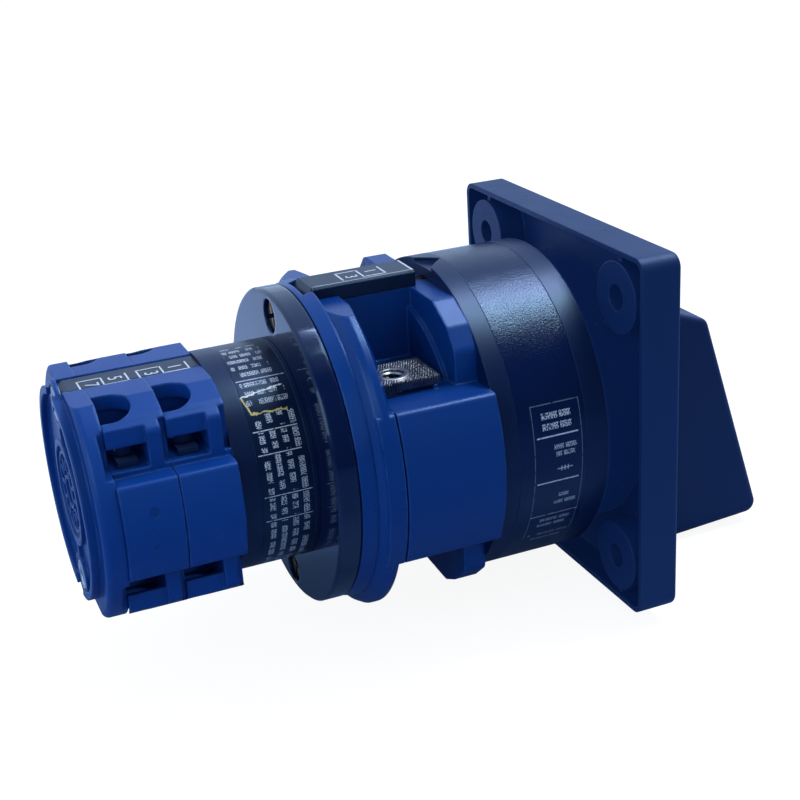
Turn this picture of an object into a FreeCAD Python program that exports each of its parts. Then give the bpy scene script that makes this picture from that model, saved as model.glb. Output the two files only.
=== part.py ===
import FreeCAD, Part
import Sketcher
import math
import os
import re

from FreeCAD import Placement, Rotation, Vector

# Cam switch with a lever handle, a square front plate, one large contact stage
# and two small ones behind an adapter.
# Frame: millimetres, the switch axis is Y and the handle points to -Y. The origin
# is on that axis in the plane where the plate rests on its panel, with +Z up.
# A side is -1 towards -X and +1 towards +X; a level is +1 above and -1 below.

SIZES = {
    # Square front plate, hollow at the back
    "plate_side": 64.6,
    "plate_depth": 7.4,
    "plate_web": 2.2,
    "plate_rim": 0.9,
    "plate_corner": 2.4,
    "plate_front_round": 0.8,
    "mount_pitch": 48.0,
    "mount_hole_radius": 2.25,
    "boss_radius": 6.2,
    "rib_width": 1.0,
    "rib_drop": 0.8,
    "disc_recess": 0.8,
    "hub_bore_radius": 9.0,
    # Lever handle
    "disc_radius": 20.5,
    "disc_thickness": 4.0,
    "running_gap": 0.3,
    "grip_thickness": 14.0,
    "grip_back": 8.0,
    "grip_top_back": 17.8,
    "grip_top_out": 30.2,
    "grip_top_height": 9.3,
    "grip_low_out": 43.2,
    "grip_low_drop": 33.2,
    "grip_low_back": 35.2,
    "grip_corner": 2.2,
    "grip_edge": 1.2,
    "hub_radius": 8.0,
    "hub_back": 3.0,
    "socket_depth": 11.0,
    "cap_bore_radius": 4.0,
    "cap_bore_floor": 17.5,
    "screw_head_radius": 3.5,
    "screw_head_height": 2.4,
    "screw_shank_radius": 1.9,
    "screw_shank_length": 12.0,
    # Square shaft
    "shaft_width": 7.0,
    "shaft_reach": 1.3,
    "socket_play": 0.05,
    # Latch housing and its star wheel
    "latch_radius": 28.3,
    "latch_start": 2.6,
    "latch_edge": 1.2,
    "latch_neck_radius": 25.0,
    "latch_end": 24.0,
    "label_start": 8.0,
    "label_end": 20.5,
    "label_thickness": 0.25,
    "bearing_radius": 6.5,
    "bearing_play": 0.08,
    "star_radius": 10.5,
    "star_start": 12.0,
    "star_thickness": 9.0,
    "star_play": 0.6,
    "notch_depth": 1.4,
    "roller_radius": 2.0,
    "roller_play": 0.2,
    "slider_width": 8.0,
    "slider_length": 7.0,
    "slider_depth": 7.0,
    "slider_play": 0.1,
    "slide_reach": 25.4,
    "latch_spring_radius": 2.6,
    "spring_wall": 0.6,
    "spring_play": 0.15,
    "pointer_width": 7.0,
    "pointer_length": 3.4,
    "pointer_depth": 0.9,
    "plate_screw_pitch": 30.0,
    "plate_screw_radius": 1.45,
    "plate_screw_head": 2.9,
    "plate_screw_reach": 7.0,
    # Large contact stage
    "main_height": 50.8,
    "main_width": 41.2,
    "main_corner_in": 12.4,
    "main_corner_mid_in": 17.8,
    "main_corner_mid_up": 22.4,
    "main_corner_low": 18.8,
    "main_lug_height": 26.9,
    "main_lug_mid_in": 16.4,
    "main_lug_mid_up": 25.0,
    "main_lug_low": 21.4,
    "main_lug_top_in": 17.8,
    "main_lug_side_up": 22.4,
    "main_corner": 2.0,
    "main_wall": 4.0,
    "main_end": 41.2,
    "main_block_radius": 30.0,
    "main_block_height": 26.4,
    "main_block_round": 1.0,
    "main_web": 7.0,
    "ledge_radius": 22.2,
    "ledge_height": 0.8,
    "seat_height": 0.7,
    "seam_gap": 0.3,
    "seam_depth": 0.9,
    "cover_neck_radius": 27.6,
    "cover_radius": 29.4,
    "cover_rim_start": 42.5,
    "cover_rim_end": 43.6,
    "cover_top": 26.2,
    "cover_bottom": 28.6,
    "cover_end": 44.6,
    "cover_step": 45.6,
    "ring_step": 0.5,
    "ring_end": 48.2,
    "ring_round": 0.6,
    # Large cam, plungers and contacts
    "main_cam_high": 11.0,
    "main_cam_low": 8.6,
    "main_cam_thickness": 6.6,
    "main_cam_start": 29.9,
    "main_cam_room": 0.6,
    "cam_play": 0.2,
    "main_chamber_start": 29.4,
    "main_chamber_in": 13.4,
    "main_chamber_out": 26.0,
    "main_chamber_height": 22.6,
    "main_plunger_width": 6.4,
    "main_plunger_depth": 4.8,
    "plunger_play": 0.12,
    "plunger_tip": 1.2,
    "main_leg_place": 14.0,
    "main_strip": 1.2,
    "main_leg_width": 3.6,
    "main_leg_bottom": 5.2,
    "main_tip_height": 7.6,
    "main_tip_radius": 1.7,
    "main_tip_rise": 0.8,
    "contact_gap": 0.05,
    "main_bridge_length": 20.0,
    "main_spring_radius": 2.8,
    "terminal_in": 11.0,
    "terminal_out": 20.2,
    "terminal_front": 30.6,
    "terminal_back": 40.8,
    "terminal_thickness": 1.6,
    "terminal_hole_radius": 2.0,
    "terminal_hole_in": 16.2,
    "terminal_hole_back": 3.6,
    "serration_depth": 0.25,
    "serration_count": 5,
    "terminal_screw_head": 3.6,
    "terminal_screw_height": 2.6,
    "terminal_washer": 1.2,
    "terminal_screw_reach": 0.6,
    "leg_slot_play": 0.15,
    # Marking strip of the large stage
    "main_strip_width": 7.4,
    "main_strip_top": 28.2,
    "main_strip_bottom": 25.5,
    "main_strip_start": 27.0,
    "main_strip_end": 47.2,
    "main_strip_slope": 1.6,
    "strip_play": 0.1,
    "strip_chamfer": 0.4,
    # Adapter between the stages
    "adapter_rim": 1.0,
    "adapter_end": 52.2,
    "adapter_round": 0.4,
    "main_bolt_pitch": 47.2,
    "main_bolt_radius": 1.9,
    "main_bolt_play": 0.15,
    "main_bolt_head": 2.7,
    "main_bolt_head_height": 2.2,
    "bolt_recess_radius": 3.0,
    "bolt_recess_depth": 2.8,
    "main_bolt_start": 4.0,
    "shaft_bore_radius": 6.6,
    # Rear collar
    "collar_radius": 19.0,
    "collar_end": 65.5,
    "collar_wall": 2.4,
    "collar_room": 12.4,
    "collar_label_start": 53.1,
    "collar_label_end": 61.9,
    # Small contact stages
    "rear_pitch": 9.6,
    "rear_wall": 3.4,
    "rear_width": 34.0,
    "rear_height": 37.0,
    "rear_height_mid": 33.6,
    "rear_corner_in": 9.8,
    "rear_corner_mid_in": 14.4,
    "rear_corner_low": 15.0,
    "rear_corner": 1.2,
    "rear_block_radius": 22.0,
    "rear_block_height": 16.2,
    "rear_block_round": 0.8,
    "rear_seam": 0.15,
    "window_top": 16.0,
    "window_bottom": 9.1,
    "window_notch": 1.1,
    "panel_low": 12.7,
    "panel_in": 15.2,
    "panel_out": 16.0,
    "window_in": 7.4,
    "roof_slot_in": 7.8,
    "roof_slot_out": 14.8,
    "roof_slot_inset": 0.8,
    "rear_bolt_pitch": 31.4,
    "rear_bolt_radius": 1.45,
    "rear_bolt_play": 0.1,
    "rear_bolt_start": 50.0,
    "rear_bolt_reach": 4.1,
    "nut_radius": 3.0,
    "nut_height": 1.0,
    "nut_seat": 3.5,
    # Small cams, plungers and contacts
    "rear_cam_high": 7.4,
    "rear_cam_low": 5.6,
    "rear_cam_thickness": 4.0,
    "rear_cam_inset": 4.5,
    "rear_cam_room": 0.5,
    "rear_bearing_radius": 5.4,
    "rear_chamber_in": 9.6,
    "rear_chamber_out": 20.2,
    "rear_chamber_height": 12.4,
    "rear_plunger_width": 4.2,
    "rear_plunger_depth": 3.4,
    "rear_plunger_tip": 0.9,
    "rear_leg_place": 13.0,
    "rear_strip": 0.8,
    "rear_leg_width": 3.0,
    "rear_leg_bottom": 3.4,
    "rear_tip_height": 4.7,
    "rear_tip_radius": 1.2,
    "rear_tip_rise": 0.6,
    "rear_bridge_length": 12.0,
    "rear_spring_radius": 1.9,
    "rear_terminal_in": 7.8,
    "rear_terminal_out": 15.6,
    "rear_terminal_thickness": 1.0,
    "rear_screw_place": 11.3,
    "rear_screw_head": 2.3,
    "rear_screw_height": 1.8,
    "rear_screw_radius": 1.4,
    # Marking strip of the small stages
    "rear_strip_width": 6.2,
    "rear_strip_top": 18.4,
    "rear_strip_bottom": 17.6,
    "rear_strip_reach": 3.4,
    "rear_strip_slope": 1.0,
    # End cap
    "cap_radius": 21.5,
    "cap_height": 37.0,
    "cap_depth": 3.5,
    "cap_round": 1.0,
    "cap_ring_radius": 18.0,
    "cap_ring_wall": 1.3,
    "cap_ring_depth": 5.1,
    "cap_floor_depth": 3.8,
    "cap_lug_radius": 4.1,
    "cap_lug_depth": 4.5,
    "medallion_radius": 9.0,
    "medallion_wall": 1.1,
    "medallion_depth": 4.6,
    "cap_web_width": 1.6,
    "cap_well_depth": 0.6,
}

doc = FreeCAD.newDocument("cam_switch")
sheet = doc.addObject("Spreadsheet::Sheet", "Sizes")
for row, (alias, value) in enumerate(SIZES.items(), start=1):
    sheet.set(f"A{row}", alias)
    sheet.set(f"B{row}", str(value))
    sheet.setAlias(f"B{row}", alias)
doc.recompute()


def size(alias):
    """Value of one cell of the sheet."""
    return float(getattr(sheet, alias))


def formula(text):
    """Expression text with every alias written as a cell of the sheet."""
    text = str(text)
    return re.sub(r"[a-z][a-z_]+",
                  lambda word: f"Sizes.{word.group()}" if word.group() in SIZES else word.group(), text)


def bind(item, **texts):
    """Bind properties of an object to the sheet; a double underscore stands for a dot."""
    for name, text in texts.items():
        item.setExpression(name.replace("__", "."), formula(text))


NODES = []


def keep(item, label):
    """Give an object the label of its file and list it as a finished piece."""
    item.Label = label
    NODES.append(item)
    return item


# Sketches. On XZ the local axes are X and Z, on YZ they are Y and Z, on XY they are X and Y.

def start_sketch(body, plane, station):
    """Empty sketch on an origin plane of the body, moved along the plane's axis."""
    sketch = body.newObject("Sketcher::SketchObject", "Sketch")
    origin_plane = [item for item in body.Origin.OriginFeatures if item.Role == plane][0]
    sketch.AttachmentSupport = [(origin_plane, "")]
    sketch.MapMode = "FlatFace"
    sign = "-" if plane == "XZ_Plane" else ""
    sketch.setExpression("AttachmentOffset.Base.z", formula(f"{sign}({station})"))
    return sketch


def pin(sketch, index, position, across, up):
    """Fix one point of the sketch at two bound coordinates."""
    for kind, text in (("DistanceX", across), ("DistanceY", up)):
        number = sketch.addConstraint(Sketcher.Constraint(kind, index, position, 1.0))
        sketch.setExpression(f"Constraints[{number}]", formula(text))


def add_loop(sketch, points):
    """Closed outline of straight lines through points given as pairs of formulas."""
    count = len(points)
    first = sketch.GeometryCount
    reach = size("disc_radius")
    rough = [Vector(reach * math.cos(2 * math.pi * i / count), reach * math.sin(2 * math.pi * i / count), 0)
             for i in range(count)]
    for i in range(count):
        sketch.addGeometry(Part.LineSegment(rough[i], rough[(i + 1) % count]), False)
    for i in range(count):
        following = first + (i + 1) % count
        sketch.addConstraint(Sketcher.Constraint("Coincident", first + i, 2, following, 1))
    for i, (across, up) in enumerate(points):
        pin(sketch, first + i, 1, across, up)


def add_box(sketch, left, right, low, high):
    """Rectangle between four bound coordinates."""
    add_loop(sketch, [(left, low), (right, low), (right, high), (left, high)])


def add_circle(sketch, across, up, radius):
    """Circle with a bound centre and radius."""
    index = sketch.addGeometry(Part.Circle(Vector(1, 1, 0), Vector(0, 0, 1), 1.0), False)
    number = sketch.addConstraint(Sketcher.Constraint("Radius", index, 1.0))
    sketch.setExpression(f"Constraints[{number}]", formula(radius))
    pin(sketch, index, 3, across, up)


def sketch_loops(body, plane, station, *loops):
    """Sketch with one outline for each list of points."""
    sketch = start_sketch(body, plane, station)
    for points in loops:
        add_loop(sketch, points)
    return sketch


def sketch_boxes(body, plane, station, *boxes):
    """Sketch with one rectangle for each (left, right, low, high)."""
    sketch = start_sketch(body, plane, station)
    for box in boxes:
        add_box(sketch, *box)
    return sketch


def sketch_circles(body, plane, station, *circles):
    """Sketch with one circle for each (across, up, radius)."""
    sketch = start_sketch(body, plane, station)
    for circle in circles:
        add_circle(sketch, *circle)
    return sketch


# Features. Along Y a pad or pocket runs from its station towards +Y unless it is turned.

def extend(body, kind, sketch, length, reverse=False, both=False):
    """Pad or pocket of a sketch with a bound length."""
    feature = body.newObject(f"PartDesign::{kind}", kind)
    feature.Profile = sketch
    feature.Reversed = reverse
    if both:
        feature.SideType = "Symmetric"
    bind(feature, Length=length)
    return feature


def pad_y(body, sketch, length):
    """Pad from the sketch towards +Y."""
    return extend(body, "Pad", sketch, length, reverse=True)


def cut_y(body, sketch, length):
    """Pocket from the sketch towards +Y."""
    return extend(body, "Pocket", sketch, length)


def revolve(body, profile, name="Revolution"):
    """Turn a profile of (place along Y, radius) pairs about the switch axis."""
    sketch = sketch_loops(body, "YZ_Plane", "0", profile)
    feature = body.newObject(f"PartDesign::{name}", name)
    feature.Profile = sketch
    feature.ReferenceAxis = (sketch, ["H_Axis"])
    feature.Angle = 360
    return feature


def soften(body, kind, amount, test):
    """Fillet or chamfer of the body's edges that pass a test."""
    doc.recompute()
    base = body.Tip
    names = [f"Edge{i}" for i, edge in enumerate(base.Shape.Edges, start=1) if test(edge)]
    feature = body.newObject(f"PartDesign::{kind}", kind)
    feature.Base = (base, names)
    if kind == "Fillet":
        bind(feature, Radius=amount)
    else:
        bind(feature, Size=amount)
    return feature


def near(value, target, reach=0.02):
    """True where two lengths agree."""
    return abs(value - target) < reach


def straight_along(edge, axis):
    """True for a straight edge along a coordinate axis (0, 1 or 2)."""
    if edge.Curve.TypeId != "Part::GeomLine":
        return False
    return near(abs(edge.tangentAt(edge.FirstParameter)[axis]), 1.0, 0.001)


def new_body(label):
    """Part Design body that becomes one node."""
    return keep(doc.addObject("PartDesign::Body", label), label)


# Primitives. Every one is placed by bound coordinates.

AXIS_TURN = {
    "X": Rotation(Vector(0, 1, 0), 90),
    "Y": Rotation(Vector(1, 0, 0), -90),
    "Z": Rotation(),
}


def block(left, right, front, back, low, high):
    """Box between six bound coordinates."""
    box = doc.addObject("Part::Box", "Box")
    bind(box, Length=f"({right}) - ({left})", Width=f"({back}) - ({front})", Height=f"({high}) - ({low})")
    bind(box, Placement__Base__x=left, Placement__Base__y=front, Placement__Base__z=low)
    return box


def rod(axis, start, length, radius, x="0", y="0", z="0"):
    """Cylinder along one axis from a start coordinate, with the other two centre coordinates."""
    cylinder = doc.addObject("Part::Cylinder", "Cylinder")
    cylinder.Placement = Placement(Vector(), AXIS_TURN[axis])
    place = {"X": x, "Y": y, "Z": z}
    place[axis] = start
    bind(cylinder, Radius=radius, Height=length)
    bind(cylinder, Placement__Base__x=place["X"], Placement__Base__y=place["Y"], Placement__Base__z=place["Z"])
    return cylinder


def fuse(*shapes):
    """Union of objects."""
    joined = doc.addObject("Part::MultiFuse", "Fusion")
    joined.Shapes = list(shapes)
    joined.Refine = True
    return joined


def cut(base, *tools):
    """Base object with the tools taken away."""
    tool = tools[0] if len(tools) == 1 else fuse(*tools)
    result = doc.addObject("Part::Cut", "Cut")
    result.Base = base
    result.Tool = tool
    return result


def gather(label, shapes):
    """Separate solids kept together in one node."""
    group = doc.addObject("Part::Compound", label)
    group.Links = list(shapes)
    return keep(group, label)


def mirror_side(side, low, high):
    """Bounds of a piece between two distances from the axis, on one side of it."""
    if side > 0:
        return f"({low})", f"({high})"
    return f"-({high})", f"-({low})"


SIDES = {"near": -1, "far": 1}
LEVELS = {"top": 1, "bottom": -1}
STAGES_END = "collar_end + 2 * rear_pitch"

# Square front plate

HALF_PLATE = "plate_side / 2"
HALF_PITCH = "mount_pitch / 2"


def make_front_plate():
    """Plate with a rim, four mounting bosses and a round recess for the handle."""
    body = new_body("front_plate")
    square = sketch_boxes(body, "XZ_Plane", "-plate_depth",
                          (f"-{HALF_PLATE}", HALF_PLATE, f"-{HALF_PLATE}", HALF_PLATE))
    pad_y(body, square, "plate_depth")
    soften(body, "Fillet", "plate_corner", lambda edge: straight_along(edge, 1))
    front = -size("plate_depth")
    soften(body, "Fillet", "plate_front_round", lambda edge: near(edge.BoundBox.YMax, front))
    inner = f"{HALF_PLATE} - plate_rim"
    hollow = sketch_boxes(body, "XZ_Plane", "plate_web - plate_depth", (f"-({inner})", inner, f"-({inner})", inner))
    cut_y(body, hollow, "plate_depth - plate_web")
    corner = size("plate_side") / 2 - size("plate_rim")
    soften(body, "Fillet", "plate_corner - plate_rim",
           lambda edge: straight_along(edge, 1) and near(abs(edge.CenterOfMass.x), corner))
    corners = [(f"{x} * {HALF_PITCH}", f"{z} * {HALF_PITCH}") for x in (-1, 1) for z in (-1, 1)]
    bosses = sketch_circles(body, "XZ_Plane", "plate_web - plate_depth",
                            *[(x, z, "boss_radius") for x, z in corners])
    pad_y(body, bosses, "plate_depth - plate_web")
    ribs = []
    reach = f"{HALF_PLATE} - plate_rim / 2"
    start = f"{HALF_PITCH} + boss_radius * 0.8"
    for x in (-1, 1):
        for z in (-1, 1):
            wide = mirror_side(x, start, reach)
            tall = mirror_side(z, start, reach)
            ribs.append((*wide, f"{z} * {HALF_PITCH} - rib_width / 2", f"{z} * {HALF_PITCH} + rib_width / 2"))
            ribs.append((f"{x} * {HALF_PITCH} - rib_width / 2", f"{x} * {HALF_PITCH} + rib_width / 2", *tall))
    rib_sketch = sketch_boxes(body, "XZ_Plane", "plate_web - plate_depth", *ribs)
    pad_y(body, rib_sketch, "plate_depth - plate_web - rib_drop")
    holes = sketch_circles(body, "XZ_Plane", "-plate_depth", *[(x, z, "mount_hole_radius") for x, z in corners])
    cut_y(body, holes, "plate_depth")
    recess = sketch_circles(body, "XZ_Plane", "-plate_depth", ("0", "0", "disc_radius + running_gap"))
    cut_y(body, recess, "disc_recess")
    bore = sketch_circles(body, "XZ_Plane", "-plate_depth", ("0", "0", "hub_bore_radius"))
    cut_y(body, bore, "plate_depth")
    screw_places = [("0", f"{level} * plate_screw_pitch / 2", "plate_screw_radius + main_bolt_play")
                    for level in (-1, 1)]
    cut_y(body, sketch_circles(body, "XZ_Plane", "-plate_depth", *screw_places), "plate_depth")
    head_places = [(x, z, "plate_screw_head + main_bolt_play") for x, z, radius in screw_places]
    heads = sketch_circles(body, "XZ_Plane", "disc_recess - plate_depth", *head_places)
    cut_y(body, heads, "(plate_web - disc_recess) / 2")


def make_plate_screws():
    """Two flat-headed screws that hold the plate to the latch housing, under the handle's disc."""
    screws = []
    for level in (-1, 1):
        place = f"{level} * plate_screw_pitch / 2"
        head = rod("Y", "disc_recess - plate_depth", "(plate_web - disc_recess) / 2", "plate_screw_head", z=place)
        shank = rod("Y", "disc_recess - plate_depth", "plate_screw_reach", "plate_screw_radius", z=place)
        screws.append(fuse(head, shank))
    gather("plate_screws", screws)


# Handle and shaft

DISC_BACK = "disc_recess - plate_depth - running_gap"


def make_handle():
    """Lever grip with sloping edges on a round disc, with a square socket for the shaft."""
    body = new_body("handle")
    grip = sketch_loops(body, "YZ_Plane", "0", [
        ("-grip_back", "grip_top_back"),
        ("-grip_top_out", "grip_top_height"),
        ("-grip_low_out", "-grip_low_drop"),
        ("-grip_back", "-grip_low_back"),
    ])
    extend(body, "Pad", grip, "grip_thickness", both=True)
    back = -size("grip_back") - 0.1
    soften(body, "Fillet", "grip_corner",
           lambda edge: straight_along(edge, 0) and edge.CenterOfMass.y < back)
    side = size("grip_thickness") / 2
    soften(body, "Fillet", "grip_edge",
           lambda edge: near(abs(edge.BoundBox.XMin), side) and near(edge.BoundBox.XLength, 0)
           and edge.BoundBox.YMin < back)
    disc = sketch_circles(body, "XZ_Plane", f"{DISC_BACK} - disc_thickness", ("0", "0", "disc_radius"))
    pad_y(body, disc, "disc_thickness")
    hub = sketch_circles(body, "XZ_Plane", f"{DISC_BACK} - disc_thickness", ("0", "0", "hub_radius"))
    pad_y(body, hub, f"disc_thickness - ({DISC_BACK}) - hub_back")
    half = "shaft_width / 2 + socket_play"
    socket = sketch_boxes(body, "XZ_Plane", "-hub_back - socket_depth", (f"-({half})", half, f"-({half})", half))
    cut_y(body, socket, "socket_depth")
    bore = sketch_circles(body, "XZ_Plane", "-grip_low_out", ("0", "0", "cap_bore_radius"))
    cut_y(body, bore, "grip_low_out - cap_bore_floor")
    passage = sketch_circles(body, "XZ_Plane", "-cap_bore_floor", ("0", "0", "screw_shank_radius + socket_play"))
    cut_y(body, passage, "cap_bore_floor - hub_back - socket_depth")


def make_handle_screw():
    """Slotted cheese-head screw at the bottom of the handle's bore."""
    head = rod("Y", "-cap_bore_floor - screw_head_height", "screw_head_height", "screw_head_radius")
    shank = rod("Y", "-cap_bore_floor", "screw_shank_length", "screw_shank_radius")
    slot_half = "screw_shank_radius / 4"
    slot = block("-screw_head_radius", "screw_head_radius", "-cap_bore_floor - screw_head_height",
                 "-cap_bore_floor - screw_head_height / 2", f"-{slot_half}", slot_half)
    keep(cut(fuse(head, shank), slot), "handle_screw")


def make_shaft():
    """Square steel shaft through every cam, threaded in front for the handle screw."""
    half = "shaft_width / 2"
    bar = block(f"-{half}", half, "-hub_back - socket_depth", f"{STAGES_END} + shaft_reach", f"-{half}", half)
    hole = rod("Y", "-hub_back - socket_depth", "screw_shank_length", "screw_shank_radius + socket_play / 2")
    keep(cut(bar, hole), "shaft")


# Latch: housing, star wheel, sprung rollers

SLIDER_START = "star_radius + roller_play + roller_radius + slider_play * 5"
SLIDE_FRONT = "star_start + star_thickness / 2 - slider_depth / 2"


def make_latch_housing():
    """Round housing with a chamber for the star wheel and two slides for the rollers."""
    body = new_body("latch_housing")
    label_radius = "latch_radius - label_thickness"
    revolve(body, [
        ("plate_web - plate_depth", "0"),
        ("plate_web - plate_depth", "latch_neck_radius"),
        ("latch_start", "latch_neck_radius"),
        ("latch_start", "latch_radius - latch_edge"),
        ("latch_start + latch_edge", "latch_radius"),
        ("label_start", "latch_radius"),
        ("label_start", label_radius),
        ("label_end", label_radius),
        ("label_end", "latch_radius"),
        ("latch_end", "latch_radius"),
        ("latch_end", "0"),
    ])
    chamber = sketch_circles(body, "XZ_Plane", "star_start - star_play / 2", ("0", "0", "star_radius + star_play"))
    cut_y(body, chamber, "latch_end - star_start + star_play / 2")
    half = "slider_width / 2 + slider_play"
    slides = sketch_boxes(body, "XZ_Plane", f"{SLIDE_FRONT} - slider_play",
                          ("-slide_reach", "slide_reach", f"-({half})", half))
    cut_y(body, slides, f"latch_end - ({SLIDE_FRONT}) + slider_play")
    hub = sketch_circles(body, "XZ_Plane", "plate_web - plate_depth", ("0", "0", "hub_bore_radius"))
    cut_y(body, hub, f"star_start - star_play / 2 - (plate_web - plate_depth) - 3 * plate_web")
    bore = sketch_circles(body, "XZ_Plane", "plate_web - plate_depth", ("0", "0", "bearing_radius + bearing_play"))
    cut_y(body, bore, "latch_end - (plate_web - plate_depth)")
    bolts = [("0", f"{level} * main_bolt_pitch / 2", "main_bolt_radius + main_bolt_play") for level in (-1, 1)]
    cut_y(body, sketch_circles(body, "XZ_Plane", "main_bolt_start", *bolts), "latch_end - main_bolt_start")
    screws = [("0", f"{level} * plate_screw_pitch / 2", "plate_screw_radius + socket_play") for level in (-1, 1)]
    reach = "plate_screw_reach + disc_recess - plate_web + main_bolt_play"
    cut_y(body, sketch_circles(body, "XZ_Plane", "plate_web - plate_depth", *screws), reach)
    pointer = sketch_loops(body, "XY_Plane", "latch_radius - pointer_depth", [
        ("-pointer_width / 2", "latch_end"),
        ("0", "latch_end - pointer_length"),
        ("pointer_width / 2", "latch_end"),
    ])
    extend(body, "Pocket", pointer, "pointer_depth", reverse=True)


def make_sleeve(label, start, end, outer, thickness):
    """Thin printed label wrapped round a housing."""
    skin = rod("Y", start, f"{end} - {start}", outer)
    core = rod("Y", start, f"{end} - {start}", f"{outer} - {thickness}")
    keep(cut(skin, core), label)


def square_hole(start, length):
    """Square tool that clears the shaft."""
    half = "shaft_width / 2 + socket_play"
    return block(f"-({half})", half, start, f"{start} + {length}", f"-({half})", half)


def make_star_wheel():
    """Wheel with four round notches that the rollers drop into."""
    wheel = rod("Y", "star_start", "star_thickness", "star_radius")
    hub_length = "latch_end - star_start - bearing_play"
    front_hub = rod("Y", "star_start - 2 * plate_web", "2 * plate_web", "bearing_radius")
    rear_hub = rod("Y", "star_start", hub_length, "bearing_radius")
    notch_place = "star_radius + roller_play + roller_radius - notch_depth"
    notches = []
    for quarter in range(4):
        place = {"x": "0", "z": "0"}
        place["x" if quarter % 2 == 0 else "z"] = f"{1 if quarter < 2 else -1} * ({notch_place})"
        notches.append(rod("Y", "star_start", "star_thickness", "roller_radius + running_gap", **place))
    hole = square_hole("star_start - 2 * plate_web", "2 * plate_web + latch_end")
    keep(cut(fuse(wheel, front_hub, rear_hub), hole, *notches), "star_wheel")


def make_detent(name, side):
    """Slider with a steel roller in its fork, pushed inwards by a spring."""
    roller_place = "star_radius + roller_play + roller_radius"
    middle = "star_start + star_thickness / 2"
    low, high = mirror_side(side, SLIDER_START, f"{SLIDER_START} + slider_length")
    body = block(low, high, SLIDE_FRONT, f"{SLIDE_FRONT} + slider_depth", "-slider_width / 2", "slider_width / 2")
    cradle = rod("Y", SLIDE_FRONT, "slider_depth", "roller_radius + slider_play", x=f"{side} * ({roller_place})")
    keep(cut(body, cradle), f"detent_slider_{name}")
    length = "slider_depth - 4 * slider_play"
    roller = rod("Y", f"{middle} - ({length}) / 2", length, "roller_radius", x=f"{side} * ({roller_place})")
    keep(roller, f"detent_roller_{name}")


def make_tube(side, low, high, radius, place):
    """Compression spring drawn as the tube that its coils fill, along X."""
    start, end = mirror_side(side, low, high)
    outer = rod("X", start, f"{end} - ({start})", radius, y=place)
    inner = rod("X", start, f"{end} - ({start})", f"{radius} - spring_wall", y=place)
    return cut(outer, inner)


def make_latch_springs():
    """Two springs between the sliders and the ends of their slides."""
    middle = "star_start + star_thickness / 2"
    low = f"{SLIDER_START} + slider_length + spring_play"
    gather("detent_springs", [make_tube(side, low, "slide_reach", "latch_spring_radius", middle)
                              for side in SIDES.values()])


# Large contact stage

HALF_BLOCK = "main_block_height / 2"
HALF_MAIN_HEIGHT = "main_height / 2"
HALF_MAIN_WIDTH = "main_width / 2"
FAR_OUT = "main_block_radius + main_wall"
MAIN_MIDDLE = "main_cam_start + main_cam_thickness / 2"
BOLT_PLACES = [f"{level} * main_bolt_pitch / 2" for level in (-1, 1)]
ADAPTER_RADIUS = "(main_bolt_pitch / 2 + bolt_recess_radius + adapter_rim)"
RING_RADIUS = f"({ADAPTER_RADIUS} + ring_step)"


def trim_height(body, station, length, top, bottom):
    """Cut away what lies above one height and below another, both measured from the axis."""
    flats = sketch_boxes(body, "XZ_Plane", station,
                         (f"-({FAR_OUT})", FAR_OUT, top, FAR_OUT),
                         (f"-({FAR_OUT})", FAR_OUT, f"-({FAR_OUT})", f"-({bottom})"))
    cut_y(body, flats, length)


def add_bowed_blocks(body, station, length, radius, half_height, amount):
    """Round bar with flats above and below, its long corners rounded."""
    pad_y(body, sketch_circles(body, "XZ_Plane", station, ("0", "0", radius)), length)
    trim_height(body, station, length, half_height, half_height)
    doc.recompute()
    edge_height = body.Shape.BoundBox.ZMax
    soften(body, "Fillet", amount,
           lambda edge: straight_along(edge, 1) and near(abs(edge.CenterOfMass.z), edge_height))


def bore_through(body, station, length, places, radius):
    """Round holes along Y at a list of heights on the middle plane."""
    cut_y(body, sketch_circles(body, "XZ_Plane", station, *[("0", place, radius) for place in places]), length)


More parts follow.
